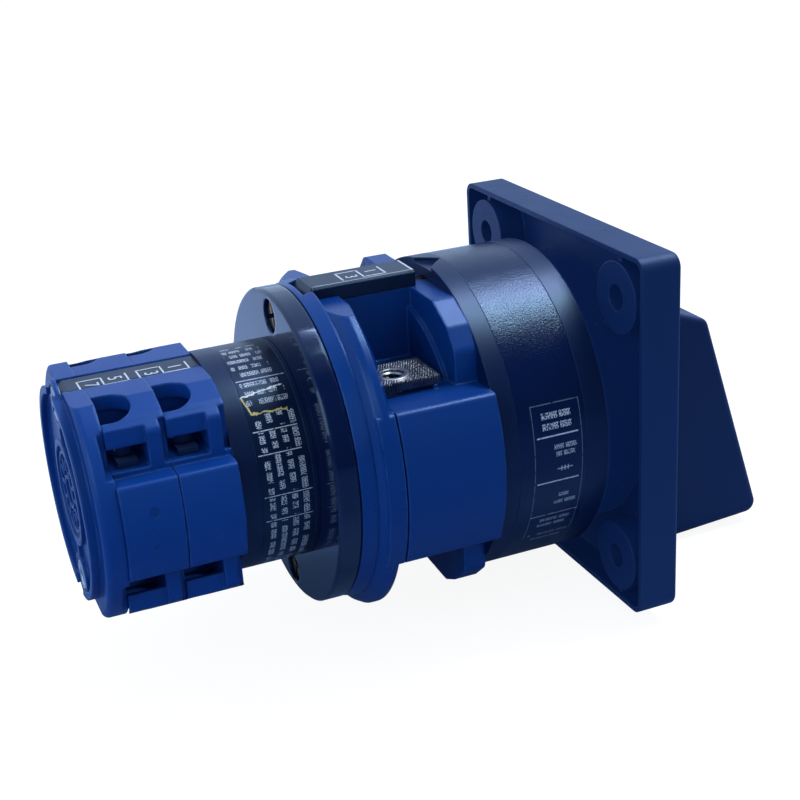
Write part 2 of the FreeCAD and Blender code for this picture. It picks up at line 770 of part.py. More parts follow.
def make_main_stage_housing():
    """Moulded stage: front wall, two side blocks, a middle web and four open terminal chambers."""
    body = new_body("main_stage_housing")
    depth = "main_end - latch_end"
    add_bowed_blocks(body, "latch_end", depth, "main_block_radius", HALF_BLOCK, "main_block_round")
    corners = [
        (HALF_MAIN_WIDTH, "-main_corner_low"),
        ("main_corner_mid_in", "-main_corner_mid_up"),
        ("main_corner_in", f"-{HALF_MAIN_HEIGHT}"),
        ("-main_corner_in", "-main_lug_height"),
        ("-main_lug_mid_in", "-main_lug_mid_up"),
        (f"-{HALF_MAIN_WIDTH}", "-main_lug_low"),
        (f"-{HALF_MAIN_WIDTH}", "main_corner_low"),
        ("-main_corner_mid_in", "main_corner_mid_up"),
        ("-main_corner_in", HALF_MAIN_HEIGHT),
        ("main_lug_top_in", HALF_MAIN_HEIGHT),
        (HALF_MAIN_WIDTH, "main_lug_side_up"),
    ]
    pad_y(body, sketch_loops(body, "XZ_Plane", "latch_end", corners), "main_wall")
    wall_edge = size("main_corner_low") - 0.1
    soften(body, "Fillet", "main_corner",
           lambda edge: straight_along(edge, 1) and abs(edge.CenterOfMass.z) > wall_edge)
    ledge = sketch_circles(body, "XZ_Plane", "latch_end + main_wall", ("0", "0", "ledge_radius"))
    pad_y(body, ledge, "ledge_height")
    web = sketch_boxes(body, "XZ_Plane", "latch_end",
                       ("-main_web / 2", "main_web / 2", f"-{HALF_MAIN_HEIGHT}", HALF_MAIN_HEIGHT))
    pad_y(body, web, depth)
    cut_main_rooms(body)
    seats = []
    for side in SIDES.values():
        across = mirror_side(side, "main_leg_place + main_strip + 2 * leg_slot_play", "terminal_out")
        for level in LEVELS.values():
            seats.append((*across, *mirror_side(level, HALF_BLOCK, f"{HALF_BLOCK} + seat_height")))
    seat_sketch = sketch_boxes(body, "XZ_Plane", "terminal_front + seam_gap", *seats)
    pad_y(body, seat_sketch, f"({MAIN_MIDDLE}) - main_leg_width / 2 - terminal_front")
    bore_through(body, "latch_end", "main_chamber_start - latch_end", ["0"], "bearing_radius + bearing_play")
    bore_through(body, "latch_end", depth, BOLT_PLACES, "main_bolt_radius + main_bolt_play")
    cut_strip_groove(body, "main_strip_start - strip_play", "main_end")


def cut_main_rooms(body):
    """Room for the cam, the two contact chambers, the plunger guides and the slots for the contact legs."""
    room_depth = "main_end - main_chamber_start"
    bore_through(body, "main_chamber_start", room_depth, ["0"], "main_cam_high + main_cam_room")
    half = "main_chamber_height / 2"
    rooms = [(*mirror_side(side, "main_chamber_in", "main_chamber_out"), f"-{half}", half)
             for side in SIDES.values()]
    cut_y(body, sketch_boxes(body, "XZ_Plane", "main_chamber_start", *rooms), room_depth)
    half = "main_plunger_width / 2 + plunger_play"
    guide = sketch_boxes(body, "XZ_Plane", f"{MAIN_MIDDLE} - main_plunger_depth / 2 - plunger_play",
                         ("-main_chamber_in", "main_chamber_in", f"-({half})", half))
    cut_y(body, guide, f"main_end - ({MAIN_MIDDLE}) + main_plunger_depth / 2 + plunger_play")
    half = "main_leg_width / 2 + leg_slot_play"
    slots = []
    for side in SIDES.values():
        across = mirror_side(side, "main_leg_place - leg_slot_play", "main_leg_place + main_strip + leg_slot_play")
        for level in LEVELS.values():
            upright = mirror_side(level, "main_chamber_height / 2 - leg_slot_play", f"{HALF_BLOCK} + leg_slot_play")
            slots.append((*across, *upright))
    cut_y(body, sketch_boxes(body, "XZ_Plane", f"{MAIN_MIDDLE} - ({half})", *slots), f"2 * ({half})")


def cut_strip_groove(body, start, end):
    """Groove for the marking strip of the large stage."""
    half = "main_strip_width / 2 + strip_play"
    groove = sketch_boxes(body, "XZ_Plane", start, (f"-({half})", half, "main_strip_bottom - strip_play", FAR_OUT))
    cut_y(body, groove, f"{end} - ({start})")


def make_main_stage_cover():
    """Flared lid behind the chambers, with side blocks that carry on those of the stage."""
    body = new_body("main_stage_cover")
    length = "cover_end - main_end"
    add_bowed_blocks(body, "main_end", length, "main_block_radius", HALF_BLOCK, "main_block_round")
    rebate = sketch_circles(body, "XZ_Plane", "main_end", ("0", "0", FAR_OUT),
                            ("0", "0", "main_block_radius - seam_depth"))
    cut_y(body, rebate, "seam_gap")
    revolve(body, [
        ("main_end", "0"),
        ("main_end", "cover_neck_radius"),
        ("cover_rim_start", "main_block_radius"),
        ("cover_rim_end", "main_block_radius"),
        ("cover_end", "cover_radius"),
        ("cover_step", RING_RADIUS),
        ("cover_step", "0"),
    ])
    trim_height(body, "main_end", "cover_step - main_end", "cover_top", "cover_bottom")
    bore_through(body, "main_end", "cover_step - main_end", ["0"], "bearing_radius + bearing_play")
    bore_through(body, "main_end", "cover_step - main_end", BOLT_PLACES, "main_bolt_radius + main_bolt_play")
    cut_strip_groove(body, "main_end", "cover_step")


def make_main_end_ring():
    """Disc that closes the large stage."""
    body = new_body("main_end_ring")
    revolve(body, [
        ("cover_step", "shaft_bore_radius"),
        ("cover_step", RING_RADIUS),
        ("ring_end", f"{RING_RADIUS} - ring_round"),
        ("ring_end", "shaft_bore_radius"),
    ])
    bore_through(body, "cover_step", "ring_end - cover_step", BOLT_PLACES, "main_bolt_radius + main_bolt_play")
    cut_strip_groove(body, "cover_step", "main_strip_end + strip_play")


def make_marking_strip(label, start, end, width, low, high, slope):
    """Flat strip with a sloping rear end and softened long edges."""
    body = new_body(label)
    profile = sketch_loops(body, "YZ_Plane", "0", [
        (start, low),
        (start, high),
        (f"{end} - {slope}", high),
        (end, f"{low} + strip_chamfer"),
        (end, low),
    ])
    extend(body, "Pad", profile, width, both=True)
    top = size(high)
    soften(body, "Chamfer", "strip_chamfer",
           lambda edge: straight_along(edge, 1) and near(edge.BoundBox.ZMin, top))


def make_cam(label, start, thickness, high, low, front_hub, rear_hub, hub_radius):
    """Cam whose radius falls evenly from high at the sides to low a quarter turn on."""
    steps = 36
    points = []
    for step in range(4 * steps + 1):
        turn = step / steps
        fall = abs((turn + 1) % 2 - 1)
        radius = size(high) - (size(high) - size(low)) * fall
        angle = math.pi / 2 * turn
        points.append(Vector(radius * math.cos(angle), 0, radius * math.sin(angle)))
    outline = []
    for quarter in range(4):
        curve = Part.BSplineCurve()
        curve.interpolate(points[quarter * steps:(quarter + 1) * steps + 1:4])
        outline.append(curve.toShape())
    profile = Part.Face(Part.Wire(outline))
    disc = profile.extrude(Vector(0, size(thickness), 0))
    disc.translate(Vector(0, start, 0))
    front = Part.makeCylinder(hub_radius, start - front_hub, Vector(0, front_hub, 0), Vector(0, 1, 0))
    rear_start = start + size(thickness)
    rear = Part.makeCylinder(hub_radius, rear_hub - rear_start, Vector(0, rear_start, 0), Vector(0, 1, 0))
    hole = size("shaft_width") + 2 * size("socket_play")
    tool = Part.makeBox(hole, rear_hub - front_hub, hole, Vector(-hole / 2, front_hub, -hole / 2))
    feature = doc.addObject("Part::Feature", "Cam")
    feature.Shape = disc.fuse(front).fuse(rear).cut(tool).removeSplitter()
    feature.Placement = Placement()
    keep(feature, label)


def make_main_cam():
    """Cam of the large stage."""
    play = size("bearing_play")
    make_cam("main_cam", size("main_cam_start"), "main_cam_thickness", "main_cam_high", "main_cam_low",
             size("latch_end") + play, size("cover_step") - play, size("bearing_radius"))


def rounded_follower(side, inner, outer, middle, depth, width, tip):
    """Plunger along X with a half-round tip towards the cam."""
    low, high = mirror_side(side, f"{inner} + {tip}", outer)
    bar = block(low, high, f"{middle} - {depth} / 2", f"{middle} + {depth} / 2",
                f"-{width} / 2", f"{width} / 2")
    nose = rod("Y", f"{middle} - {depth} / 2", depth, tip, x=f"{side} * ({inner} + {tip})")
    neck_low, neck_high = mirror_side(side, f"{inner} + {tip}", f"{inner} + 2 * {tip}")
    neck = block(neck_low, neck_high, f"{middle} - {depth} / 2", f"{middle} + {depth} / 2", f"-{tip}", tip)
    return fuse(bar, nose, neck)


class ContactSet:
    """Names of the sizes that shape the plungers, bridges and fixed contacts of one kind of stage."""

    def __init__(self, prefix, room_out, terminal_low, terminal_ends):
        self.prefix = prefix
        self.room_out = room_out
        self.terminal_low = terminal_low
        self.terminal_ends = terminal_ends
        self.tip_face = f"{prefix}_leg_place + {prefix}_strip + {prefix}_tip_rise"
        travel = f"{prefix}_cam_high - {prefix}_cam_low"
        self.bridge_in = f"{self.tip_face} + contact_gap + {prefix}_tip_rise + {travel}"
        self.bridge_out = f"{self.bridge_in} + {prefix}_strip"

    def make_plunger(self, label, side, middle):
        """Insulating plunger that rides on the cam and carries the bridge."""
        prefix = self.prefix
        tip = f"{prefix}_plunger_tip" if prefix == "rear" else "plunger_tip"
        plunger = rounded_follower(side, f"{prefix}_cam_high + cam_play", self.bridge_in, middle,
                                   f"{prefix}_plunger_depth", f"{prefix}_plunger_width", tip)
        keep(plunger, label)

    def make_bridge(self, label, side, middle):
        """Moving contact bar with a silver button at each end."""
        prefix = self.prefix
        low, high = mirror_side(side, self.bridge_in, self.bridge_out)
        half = f"{prefix}_leg_width / 2"
        long_half = f"{prefix}_bridge_length / 2"
        pieces = [block(low, high, f"{middle} - {half}", f"{middle} + {half}", f"-{long_half}", long_half)]
        start, _ = mirror_side(side, f"{self.bridge_in} - {prefix}_tip_rise", self.bridge_in)
        for level in LEVELS.values():
            pieces.append(rod("X", start, f"{prefix}_tip_rise", f"{prefix}_tip_radius", y=middle,
                              z=f"{level} * {prefix}_tip_height"))
        keep(fuse(*pieces), label)

    def make_fixed_contact(self, label, side, level, middle):
        """Terminal plate with a leg down into the chamber and a silver button facing the bridge."""
        prefix = self.prefix
        half = f"{prefix}_leg_width / 2"
        thickness = "rear_terminal_thickness" if prefix == "rear" else "terminal_thickness"
        top = f"{self.terminal_low} + {thickness}"
        ends = self.terminal_ends(middle)
        plate_in = "rear_terminal_in" if prefix == "rear" else "terminal_in"
        plate_out = "rear_terminal_out" if prefix == "rear" else "terminal_out"
        low, high = mirror_side(side, plate_in, plate_out)
        plate = block(low, high, *ends, *mirror_side(level, self.terminal_low, top))
        low, high = mirror_side(side, f"{prefix}_leg_place", f"{prefix}_leg_place + {prefix}_strip")
        leg = block(low, high, f"{middle} - {half}", f"{middle} + {half}",
                    *mirror_side(level, f"{prefix}_leg_bottom", top))
        start, _ = mirror_side(side, f"{prefix}_leg_place + {prefix}_strip", self.tip_face)
        button = rod("X", start, f"{prefix}_tip_rise", f"{prefix}_tip_radius", y=middle,
                     z=f"{level} * {prefix}_tip_height")
        joined = fuse(plate, leg, button)
        tools = self.screw_hole(side, level, middle, top)
        if prefix == "main":
            tools += self.serrations(side, level, top)
        keep(cut(joined, *tools), label)

    def screw_hole(self, side, level, middle, top):
        """Threaded hole of the terminal, drawn as its bore."""
        if self.prefix == "rear":
            place, along, radius = "rear_screw_place", middle, "rear_screw_radius + socket_play"
        else:
            place, along, radius = "terminal_hole_in", "terminal_back - terminal_hole_back", "terminal_hole_radius"
        low, _ = mirror_side(level, self.terminal_low, top)
        length = "rear_terminal_thickness" if self.prefix == "rear" else "terminal_thickness"
        return [rod("Z", low, length, radius, x=f"{side} * {place}", y=along)]

    def serrations(self, side, level, top):
        """Small grooves across the plate where the wire is clamped."""
        tools = []
        low, high = mirror_side(side, "main_leg_place + main_strip", "terminal_out - serration_depth")
        for number in range(int(size("serration_count"))):
            start = f"terminal_front + terminal_washer + {number} * 3 * serration_depth"
            tools.append(block(low, high, start, f"{start} + serration_depth",
                               *mirror_side(level, f"{top} - serration_depth", top)))
        return tools


MAIN_SET = ContactSet("main", "main_chamber_out", f"{HALF_BLOCK} + seat_height + socket_play",
                      lambda middle: ("terminal_front", "terminal_back"))


def make_main_contacts():
    """Plungers, bridges and fixed contacts of the large stage."""
    for name, side in SIDES.items():
        MAIN_SET.make_plunger(f"main_plunger_{name}", side, MAIN_MIDDLE)
        MAIN_SET.make_bridge(f"main_bridge_{name}", side, MAIN_MIDDLE)
        for row, level in LEVELS.items():
            MAIN_SET.make_fixed_contact(f"main_contact_{name}_{row}", side, level, MAIN_MIDDLE)
    gather("main_contact_springs", [
        make_tube(side, f"{MAIN_SET.bridge_out} + spring_play", "main_chamber_out", "main_spring_radius", MAIN_MIDDLE)
        for side in SIDES.values()])


def make_terminal_screws():
    """Clamping screws with square washers on the far terminals; the near ones stand open."""
    screws = []
    top = f"{HALF_BLOCK} + seat_height + socket_play + terminal_thickness"
    along = "terminal_back - terminal_hole_back"
    side = SIDES["far"]
    for level in LEVELS.values():
        x = f"{side} * terminal_hole_in"
        low, _ = mirror_side(level, top, f"{top} + terminal_washer")
        washer_half = "terminal_screw_head"
        washer = block(f"{x} - {washer_half}", f"{x} + {washer_half}", f"{along} - {washer_half}",
                       f"{along} + terminal_hole_back - running_gap",
                       *mirror_side(level, top, f"{top} + terminal_washer"))
        head_low, _ = mirror_side(level, f"{top} + terminal_washer",
                                  f"{top} + terminal_washer + terminal_screw_height")
        head = rod("Z", head_low, "terminal_screw_height", "terminal_screw_head - seam_gap", x=x, y=along)
        shank_in = f"{top} - terminal_thickness - terminal_screw_reach"
        shank_low, _ = mirror_side(level, shank_in, f"{top} + terminal_washer / 2")
        shank = rod("Z", shank_low, "terminal_thickness + terminal_screw_reach + terminal_washer / 2",
                    "terminal_hole_radius - socket_play", x=x, y=along)
        slot_top = f"{top} + terminal_washer + terminal_screw_height"
        slot = block(f"{x} - terminal_screw_head", f"{x} + terminal_screw_head",
                     f"{along} - socket_play * 8", f"{along} + socket_play * 8",
                     *mirror_side(level, f"{slot_top} - terminal_screw_height / 2", slot_top))
        screws.append(cut(fuse(washer, head, shank), slot))
    gather("main_terminal_screws", screws)


def make_main_bolts():
    """Two long screws from the adapter to the latch housing."""
    bolts = []
    head_start = "adapter_end - bolt_recess_depth"
    for place in BOLT_PLACES:
        head = rod("Y", head_start, "main_bolt_head_height", "main_bolt_head", z=place)
        shank = rod("Y", "main_bolt_start + main_bolt_play", f"{head_start} - main_bolt_start - main_bolt_play",
                    "main_bolt_radius", z=place)
        slot = block("-main_bolt_head", "main_bolt_head",
                     f"{head_start} + main_bolt_head_height / 2", f"{head_start} + main_bolt_head_height",
                     f"{place} - socket_play * 7", f"{place} + socket_play * 7")
        bolts.append(cut(fuse(head, shank), slot))
    gather("main_tie_bolts", bolts)


# Adapter and rear collar

REAR_BOLT_PLACES = [f"{level} * rear_bolt_pitch / 2" for level in (-1, 1)]


def make_adapter_disc():
    """Glossy disc with sunk holes for the long screws."""
    body = new_body("adapter_disc")
    revolve(body, [
        ("ring_end", "shaft_bore_radius"),
        ("ring_end", f"{ADAPTER_RADIUS} - adapter_round"),
        ("ring_end + adapter_round", ADAPTER_RADIUS),
        ("adapter_end - adapter_round", ADAPTER_RADIUS),
        ("adapter_end", f"{ADAPTER_RADIUS} - adapter_round"),
        ("adapter_end", "shaft_bore_radius"),
    ])
    bore_through(body, "ring_end", "adapter_end - ring_end", BOLT_PLACES, "main_bolt_radius + main_bolt_play")
    bore_through(body, "adapter_end - bolt_recess_depth", "bolt_recess_depth", BOLT_PLACES, "bolt_recess_radius")
    bore_through(body, "rear_bolt_start", "adapter_end - rear_bolt_start", REAR_BOLT_PLACES,
                 "rear_bolt_radius + rear_bolt_play")


def make_rear_collar():
    """Hollow collar that spaces the small stages from the adapter."""
    body = new_body("rear_collar")
    skin = "collar_radius - label_thickness"
    revolve(body, [
        ("adapter_end", "shaft_bore_radius"),
        ("adapter_end", "collar_radius"),
        ("collar_label_start", "collar_radius"),
        ("collar_label_start", skin),
        ("collar_label_end", skin),
        ("collar_label_end", "collar_radius"),
        ("collar_end", "collar_radius"),
        ("collar_end", "collar_room"),
        ("adapter_end + collar_wall", "collar_room"),
        ("adapter_end + collar_wall", "shaft_bore_radius"),
    ])
    bore_through(body, "adapter_end", "collar_end - adapter_end", REAR_BOLT_PLACES,
                 "rear_bolt_radius + rear_bolt_play")


# Small contact stages

HALF_REAR_WIDTH = "rear_width / 2"
HALF_REAR_HEIGHT = "rear_height / 2"
HALF_REAR_BLOCK = "rear_block_height / 2"
STAGES = {
    "front": "collar_end",
    "rear": "collar_end + rear_pitch",
}


def stage_middle(start):
    """Place along Y of the middle of a small stage's cam."""
    return f"{start} + rear_cam_inset + rear_cam_thickness / 2"


def make_rear_stage(name):
    """Small stage: square tower with windows and slots, and bowed side blocks."""
    start = STAGES[name]
    body = new_body(f"rear_stage_{name}")
    add_bowed_blocks(body, f"{start} + rear_seam", "rear_pitch - rear_seam", "rear_block_radius",
                     HALF_REAR_BLOCK, "rear_block_round")
    corners = [
        (HALF_REAR_WIDTH, "rear_corner_low"),
        ("rear_corner_mid_in", "rear_height_mid / 2"),
        ("rear_corner_in", HALF_REAR_HEIGHT),
    ]
    corners += [(f"-{x}", z) for x, z in reversed(corners)]
    corners += [(x, f"-{z}") for x, z in reversed(corners)]
    pad_y(body, sketch_loops(body, "XZ_Plane", start, corners), "rear_pitch")
    wall_edge = size("rear_corner_low") - 0.1
    soften(body, "Fillet", "rear_corner",
           lambda edge: straight_along(edge, 1) and abs(edge.CenterOfMass.z) > wall_edge)
    room = f"{start} + rear_wall"
    depth = "rear_pitch - rear_wall"
    bore_through(body, f"{room} + rear_cam_room", f"{depth} - rear_cam_room", ["0"], "rear_cam_high + rear_cam_room")
    half = "rear_chamber_height / 2"
    rooms = [(*mirror_side(side, "rear_chamber_in", "rear_chamber_out"), f"-{half}", half)
             for side in SIDES.values()]
    cut_y(body, sketch_boxes(body, "XZ_Plane", room, *rooms), depth)
    cut_windows(body, room, depth)
    cut_notches(body, start)
    half = "rear_plunger_width / 2 + plunger_play"
    middle = stage_middle(start)
    guide = sketch_boxes(body, "XZ_Plane", f"{middle} - rear_plunger_depth / 2 - plunger_play",
                         ("-rear_chamber_in", "rear_chamber_in", f"-({half})", half))
    cut_y(body, guide, "rear_pitch")
    half = "rear_leg_width / 2 + leg_slot_play"
    slots = []
    for side in SIDES.values():
        across = mirror_side(side, "rear_leg_place - leg_slot_play", "rear_leg_place + rear_strip + leg_slot_play")
        for level in LEVELS.values():
            upright = mirror_side(level, "rear_chamber_height / 2 - leg_slot_play", "window_bottom + leg_slot_play")
            slots.append((*across, *upright))
    cut_y(body, sketch_boxes(body, "XZ_Plane", f"{middle} - ({half})", *slots), f"2 * ({half})")
    cut_roof_slots(body, start)
    bore_through(body, start, "rear_wall + rear_cam_room", ["0"], "rear_bearing_radius + bearing_play")
    bore_through(body, start, "rear_pitch", REAR_BOLT_PLACES, "rear_bolt_radius + rear_bolt_play")
    cut_rear_groove(body, start, f"{start} + rear_pitch")


def corner_boxes(low_in, high_out, bottom, top):
    """The same rectangle in each of the four corners, as seen along the switch axis."""
    return [(*mirror_side(side, low_in, high_out), *mirror_side(level, bottom, top))
            for side in SIDES.values() for level in LEVELS.values()]


def cut_windows(body, room, depth):
    """Four side windows: open below, closed above by a sunk panel with the screw's room behind it."""
    for box in (("window_in", HALF_REAR_WIDTH, "window_bottom", "panel_low"),
                ("window_in", "panel_in", "panel_low", "window_top"),
                ("panel_out", HALF_REAR_WIDTH, "panel_low", "window_top")):
        cut_y(body, sketch_boxes(body, "XZ_Plane", room, *corner_boxes(*box)), depth)


def cut_notches(body, start):
    """Shallow notches in a front face, in line with the windows."""
    notches = corner_boxes("panel_in", FAR_OUT, "window_bottom", "window_top")
    cut_y(body, sketch_boxes(body, "XZ_Plane", start, *notches), "window_notch")


def cut_roof_slots(body, start):
    """Slots through roof and floor for the screwdriver, square behind and round in front."""
    place = "(roof_slot_in + roof_slot_out) / 2"
    half = "(roof_slot_out - roof_slot_in) / 2"
    front = f"{start} + rear_wall + roof_slot_inset"
    for reverse, level in ((False, 1), (True, -1)):
        station = f"{level} * ({HALF_REAR_HEIGHT})"
        boxes = []
        rounds = []
        for side in SIDES.values():
            across = mirror_side(side, "roof_slot_in", "roof_slot_out")
            boxes.append((*across, f"{front} + {half}", f"{start} + rear_pitch"))
            rounds.append((f"{side} * {place}", f"{front} + {half}", half))
        length = f"{HALF_REAR_HEIGHT} - window_top"
        extend(body, "Pocket", sketch_boxes(body, "XY_Plane", station, *boxes), length, reverse=reverse)
        extend(body, "Pocket", sketch_circles(body, "XY_Plane", station, *rounds), length, reverse=reverse)


def cut_rear_groove(body, start, end):
    """Groove for the marking strip of the small stages."""
    half = "rear_strip_width / 2 + strip_play"
    groove = sketch_boxes(body, "XZ_Plane", start, (f"-({half})", half, "rear_strip_bottom - strip_play", FAR_OUT))
    cut_y(body, groove, f"{end} - ({start})")


def rear_terminal_ends(middle):
    """Front and rear coordinates of a small terminal."""
    return (f"{middle} - rear_leg_width / 2 - leg_slot_play", f"{middle} + rear_leg_width / 2 + leg_slot_play")


REAR_SET = ContactSet("rear", "rear_chamber_out", "window_bottom + socket_play", rear_terminal_ends)


def make_rear_contacts():
    """Plungers, bridges, fixed contacts, screws and springs of the small stages."""
    springs = []
    screws = []
    for stage, start in STAGES.items():
        middle = stage_middle(start)
        for name, side in SIDES.items():
            REAR_SET.make_plunger(f"rear_plunger_{stage}_{name}", side, middle)
            REAR_SET.make_bridge(f"rear_bridge_{stage}_{name}", side, middle)
            springs.append(make_tube(side, f"{REAR_SET.bridge_out} + spring_play", "rear_chamber_out",
                                     "rear_spring_radius", middle))
            for row, level in LEVELS.items():
                REAR_SET.make_fixed_contact(f"rear_contact_{stage}_{name}_{row}", side, level, middle)
                screws.append(rear_screw(side, level, middle))
    gather("rear_contact_springs", springs)
    gather("rear_terminal_screws", screws)


def rear_screw(side, level, middle):
    """Small slotted screw on one terminal."""
    plate_top = "window_bottom + socket_play + rear_terminal_thickness"
    x = f"{side} * rear_screw_place"
    low, _ = mirror_side(level, plate_top, f"{plate_top} + rear_screw_height")
    head = rod("Z", low, "rear_screw_height", "rear_screw_head", x=x, y=middle)
    shank_low, _ = mirror_side(level, f"{plate_top} - rear_terminal_thickness", plate_top)
    shank = rod("Z", shank_low, "rear_terminal_thickness", "rear_screw_radius", x=x, y=middle)
    slot = block(f"{x} - rear_screw_head", f"{x} + rear_screw_head", f"{middle} - socket_play * 6",
                 f"{middle} + socket_play * 6",
                 *mirror_side(level, f"{plate_top} + rear_screw_height / 2", f"{plate_top} + rear_screw_height"))
    return cut(fuse(head, shank), slot)


def make_rear_cams():
    """Cams of the small stages; the hub of each ends where the next begins."""
    play = size("bearing_play")
    start = size("collar_end")
    for number, name in enumerate(STAGES):
        front = start + number * size("rear_pitch")
        make_cam(f"rear_cam_{name}", front + size("rear_cam_inset"), "rear_cam_thickness", "rear_cam_high",
                 "rear_cam_low", front + play, front + size("rear_pitch") - play, size("rear_bearing_radius"))


def make_rear_bolts():
    """Two studs through the small stages and the round nuts that close them."""
    studs = []
    nuts = []
    for place in REAR_BOLT_PLACES:
        length = f"{STAGES_END} + rear_bolt_reach - rear_bolt_start - rear_bolt_play"
        studs.append(rod("Y", "rear_bolt_start + rear_bolt_play", length, "rear_bolt_radius", z=place))
        ring = rod("Y", f"{STAGES_END} + nut_seat", "nut_height", "nut_radius", z=place)
        hole = rod("Y", f"{STAGES_END} + nut_seat", "nut_height", "rear_bolt_radius + socket_play / 2", z=place)
        nuts.append(cut(ring, hole))
    gather("rear_studs", studs)
    gather("rear_nuts", nuts)


def make_rear_end_cap():
    """Round cap with two flats, a raised rim, a round boss in the middle and lugs for the nuts."""
    body = new_body("rear_end_cap")
    start = STAGES_END
    end = f"{start} + cap_depth"
    ring_end = f"{start} + cap_ring_depth"
    floor = f"{start} + cap_floor_depth"
    rim = "cap_ring_radius - cap_ring_wall"
    revolve(body, [
        (start, "0"),
        (start, "cap_radius"),
        (end, "cap_radius"),
        (end, "cap_ring_radius"),
        (ring_end, "cap_ring_radius"),
        (ring_end, rim),
        (floor, rim),
        (floor, "0"),
    ])
    back = size("collar_end") + 2 * size("rear_pitch") + size("cap_depth")
    skin = size("cap_radius")
    soften(body, "Fillet", "cap_round",
           lambda edge: near(edge.BoundBox.YMin, back) and near(edge.BoundBox.YMax, back)
           and edge.Curve.TypeId == "Part::GeomCircle" and near(edge.Curve.Radius, skin))
    trim_height(body, start, "cap_depth", "cap_height / 2", "cap_height / 2")
    webs = sketch_boxes(body, "XZ_Plane", floor,
                        ("-cap_web_width / 2", "cap_web_width / 2",
                         "-cap_ring_radius + cap_ring_wall / 2", "cap_ring_radius - cap_ring_wall / 2"))
    pad_y(body, webs, "cap_lug_depth - cap_floor_depth - socket_play")
    lugs = sketch_circles(body, "XZ_Plane", floor,
                          *[("0", place, "cap_lug_radius") for place in REAR_BOLT_PLACES])
    pad_y(body, lugs, "cap_lug_depth - cap_floor_depth")
    boss = sketch_circles(body, "XZ_Plane", floor, ("0", "0", "medallion_radius"))
    pad_y(body, boss, "medallion_depth - cap_floor_depth")
    well_start = f"{start} + medallion_depth - cap_well_depth"
    well = sketch_circles(body, "XZ_Plane", well_start, ("0", "0", "medallion_radius - medallion_wall"))
    cut_y(body, well, "cap_well_depth")
    bore_through(body, start, "shaft_reach + running_gap", ["0"], "rear_bearing_radius")
    bore_through(body, f"{start} + nut_seat", "cap_ring_depth - nut_seat", REAR_BOLT_PLACES,
                 "nut_radius + rear_bolt_play")
    bore_through(body, start, "cap_ring_depth", REAR_BOLT_PLACES, "rear_bolt_radius + rear_bolt_play")
    cut_notches(body, start)
    cut_rear_groove(body, start, f"{start} + rear_strip_reach + strip_play")


MAKERS = [
    make_front_plate,
    make_plate_screws,
    make_handle,
    make_handle_screw,
    make_shaft,
    make_latch_housing,
    lambda: make_sleeve("latch_label", "label_start", "label_end", "latch_radius", "label_thickness"),
    make_star_wheel,
    lambda: [make_detent(name, side) for name, side in SIDES.items()],
    make_latch_springs,
    make_main_stage_housing,
    make_main_stage_cover,
    make_main_end_ring,
    lambda: make_marking_strip("main_marking_strip", "main_strip_start", "main_strip_end", "main_strip_width",
                               "main_strip_bottom", "main_strip_top", "main_strip_slope"),
    make_main_cam,
    make_main_contacts,
    make_terminal_screws,
    make_main_bolts,
    make_adapter_disc,
    make_rear_collar,
    lambda: make_sleeve("rear_label", "collar_label_start", "collar_label_end", "collar_radius", "label_thickness"),
    lambda: [make_rear_stage(name) for name in STAGES],
    make_rear_contacts,
    make_rear_cams,
    make_rear_bolts,
    lambda: make_marking_strip("rear_marking_strip", "collar_end", f"{STAGES_END} + rear_strip_reach",
                               "rear_strip_width", "rear_strip_bottom", "rear_strip_top", "rear_strip_slope"),
    make_rear_end_cap,
]

for maker in MAKERS:
    maker()
doc.recompute()

# Checks and files

faults = [f"{item.Name} {item.Label} {item.State}" for item in doc.Objects
          if "Invalid" in item.State or "Error" in item.State]
for node in NODES:
    if node.Shape.isNull() or not node.Shape.isValid():
        faults.append(f"{node.Label} has no sound shape")
for fault in faults:
    print("fault:", fault)
if faults:
    raise RuntimeError(f"{len(faults)} faults in the model")

os.makedirs("parts", exist_ok=True)
for node in NODES:
    node.Shape.exportStep(f"parts/{node.Label}.step")
    print(node.Label, len(node.Shape.Solids), round(node.Shape.Volume, 1))
print(len(NODES), "pieces")
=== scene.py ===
"""Looks of a cam switch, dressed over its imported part, in metres and in the part's own frame."""

import logging
import math
from dataclasses import dataclass
from enum import Enum

import bmesh
import bpy
from mathutils import Matrix, Vector


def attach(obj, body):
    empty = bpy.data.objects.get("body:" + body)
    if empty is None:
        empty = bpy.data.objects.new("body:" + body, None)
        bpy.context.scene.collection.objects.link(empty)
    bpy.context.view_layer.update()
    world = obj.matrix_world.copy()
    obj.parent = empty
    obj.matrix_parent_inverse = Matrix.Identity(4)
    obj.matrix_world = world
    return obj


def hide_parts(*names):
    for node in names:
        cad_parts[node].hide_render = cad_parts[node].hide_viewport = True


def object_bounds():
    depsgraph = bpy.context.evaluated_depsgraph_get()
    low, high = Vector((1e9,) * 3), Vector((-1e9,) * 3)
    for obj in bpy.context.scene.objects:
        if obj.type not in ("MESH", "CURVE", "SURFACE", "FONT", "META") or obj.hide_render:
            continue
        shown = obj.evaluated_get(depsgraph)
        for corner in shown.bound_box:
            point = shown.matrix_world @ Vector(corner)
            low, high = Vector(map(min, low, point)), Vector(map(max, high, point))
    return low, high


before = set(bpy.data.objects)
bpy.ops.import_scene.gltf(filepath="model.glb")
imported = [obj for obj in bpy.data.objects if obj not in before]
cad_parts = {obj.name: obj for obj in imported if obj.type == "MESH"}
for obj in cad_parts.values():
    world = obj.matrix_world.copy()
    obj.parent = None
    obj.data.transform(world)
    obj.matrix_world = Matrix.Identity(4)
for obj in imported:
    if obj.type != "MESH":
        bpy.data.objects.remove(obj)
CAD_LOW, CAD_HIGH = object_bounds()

LOG = logging.getLogger("cam_switch")
MM = 0.001
METRE = 1000.0
FULL_TURN = 2 * math.pi
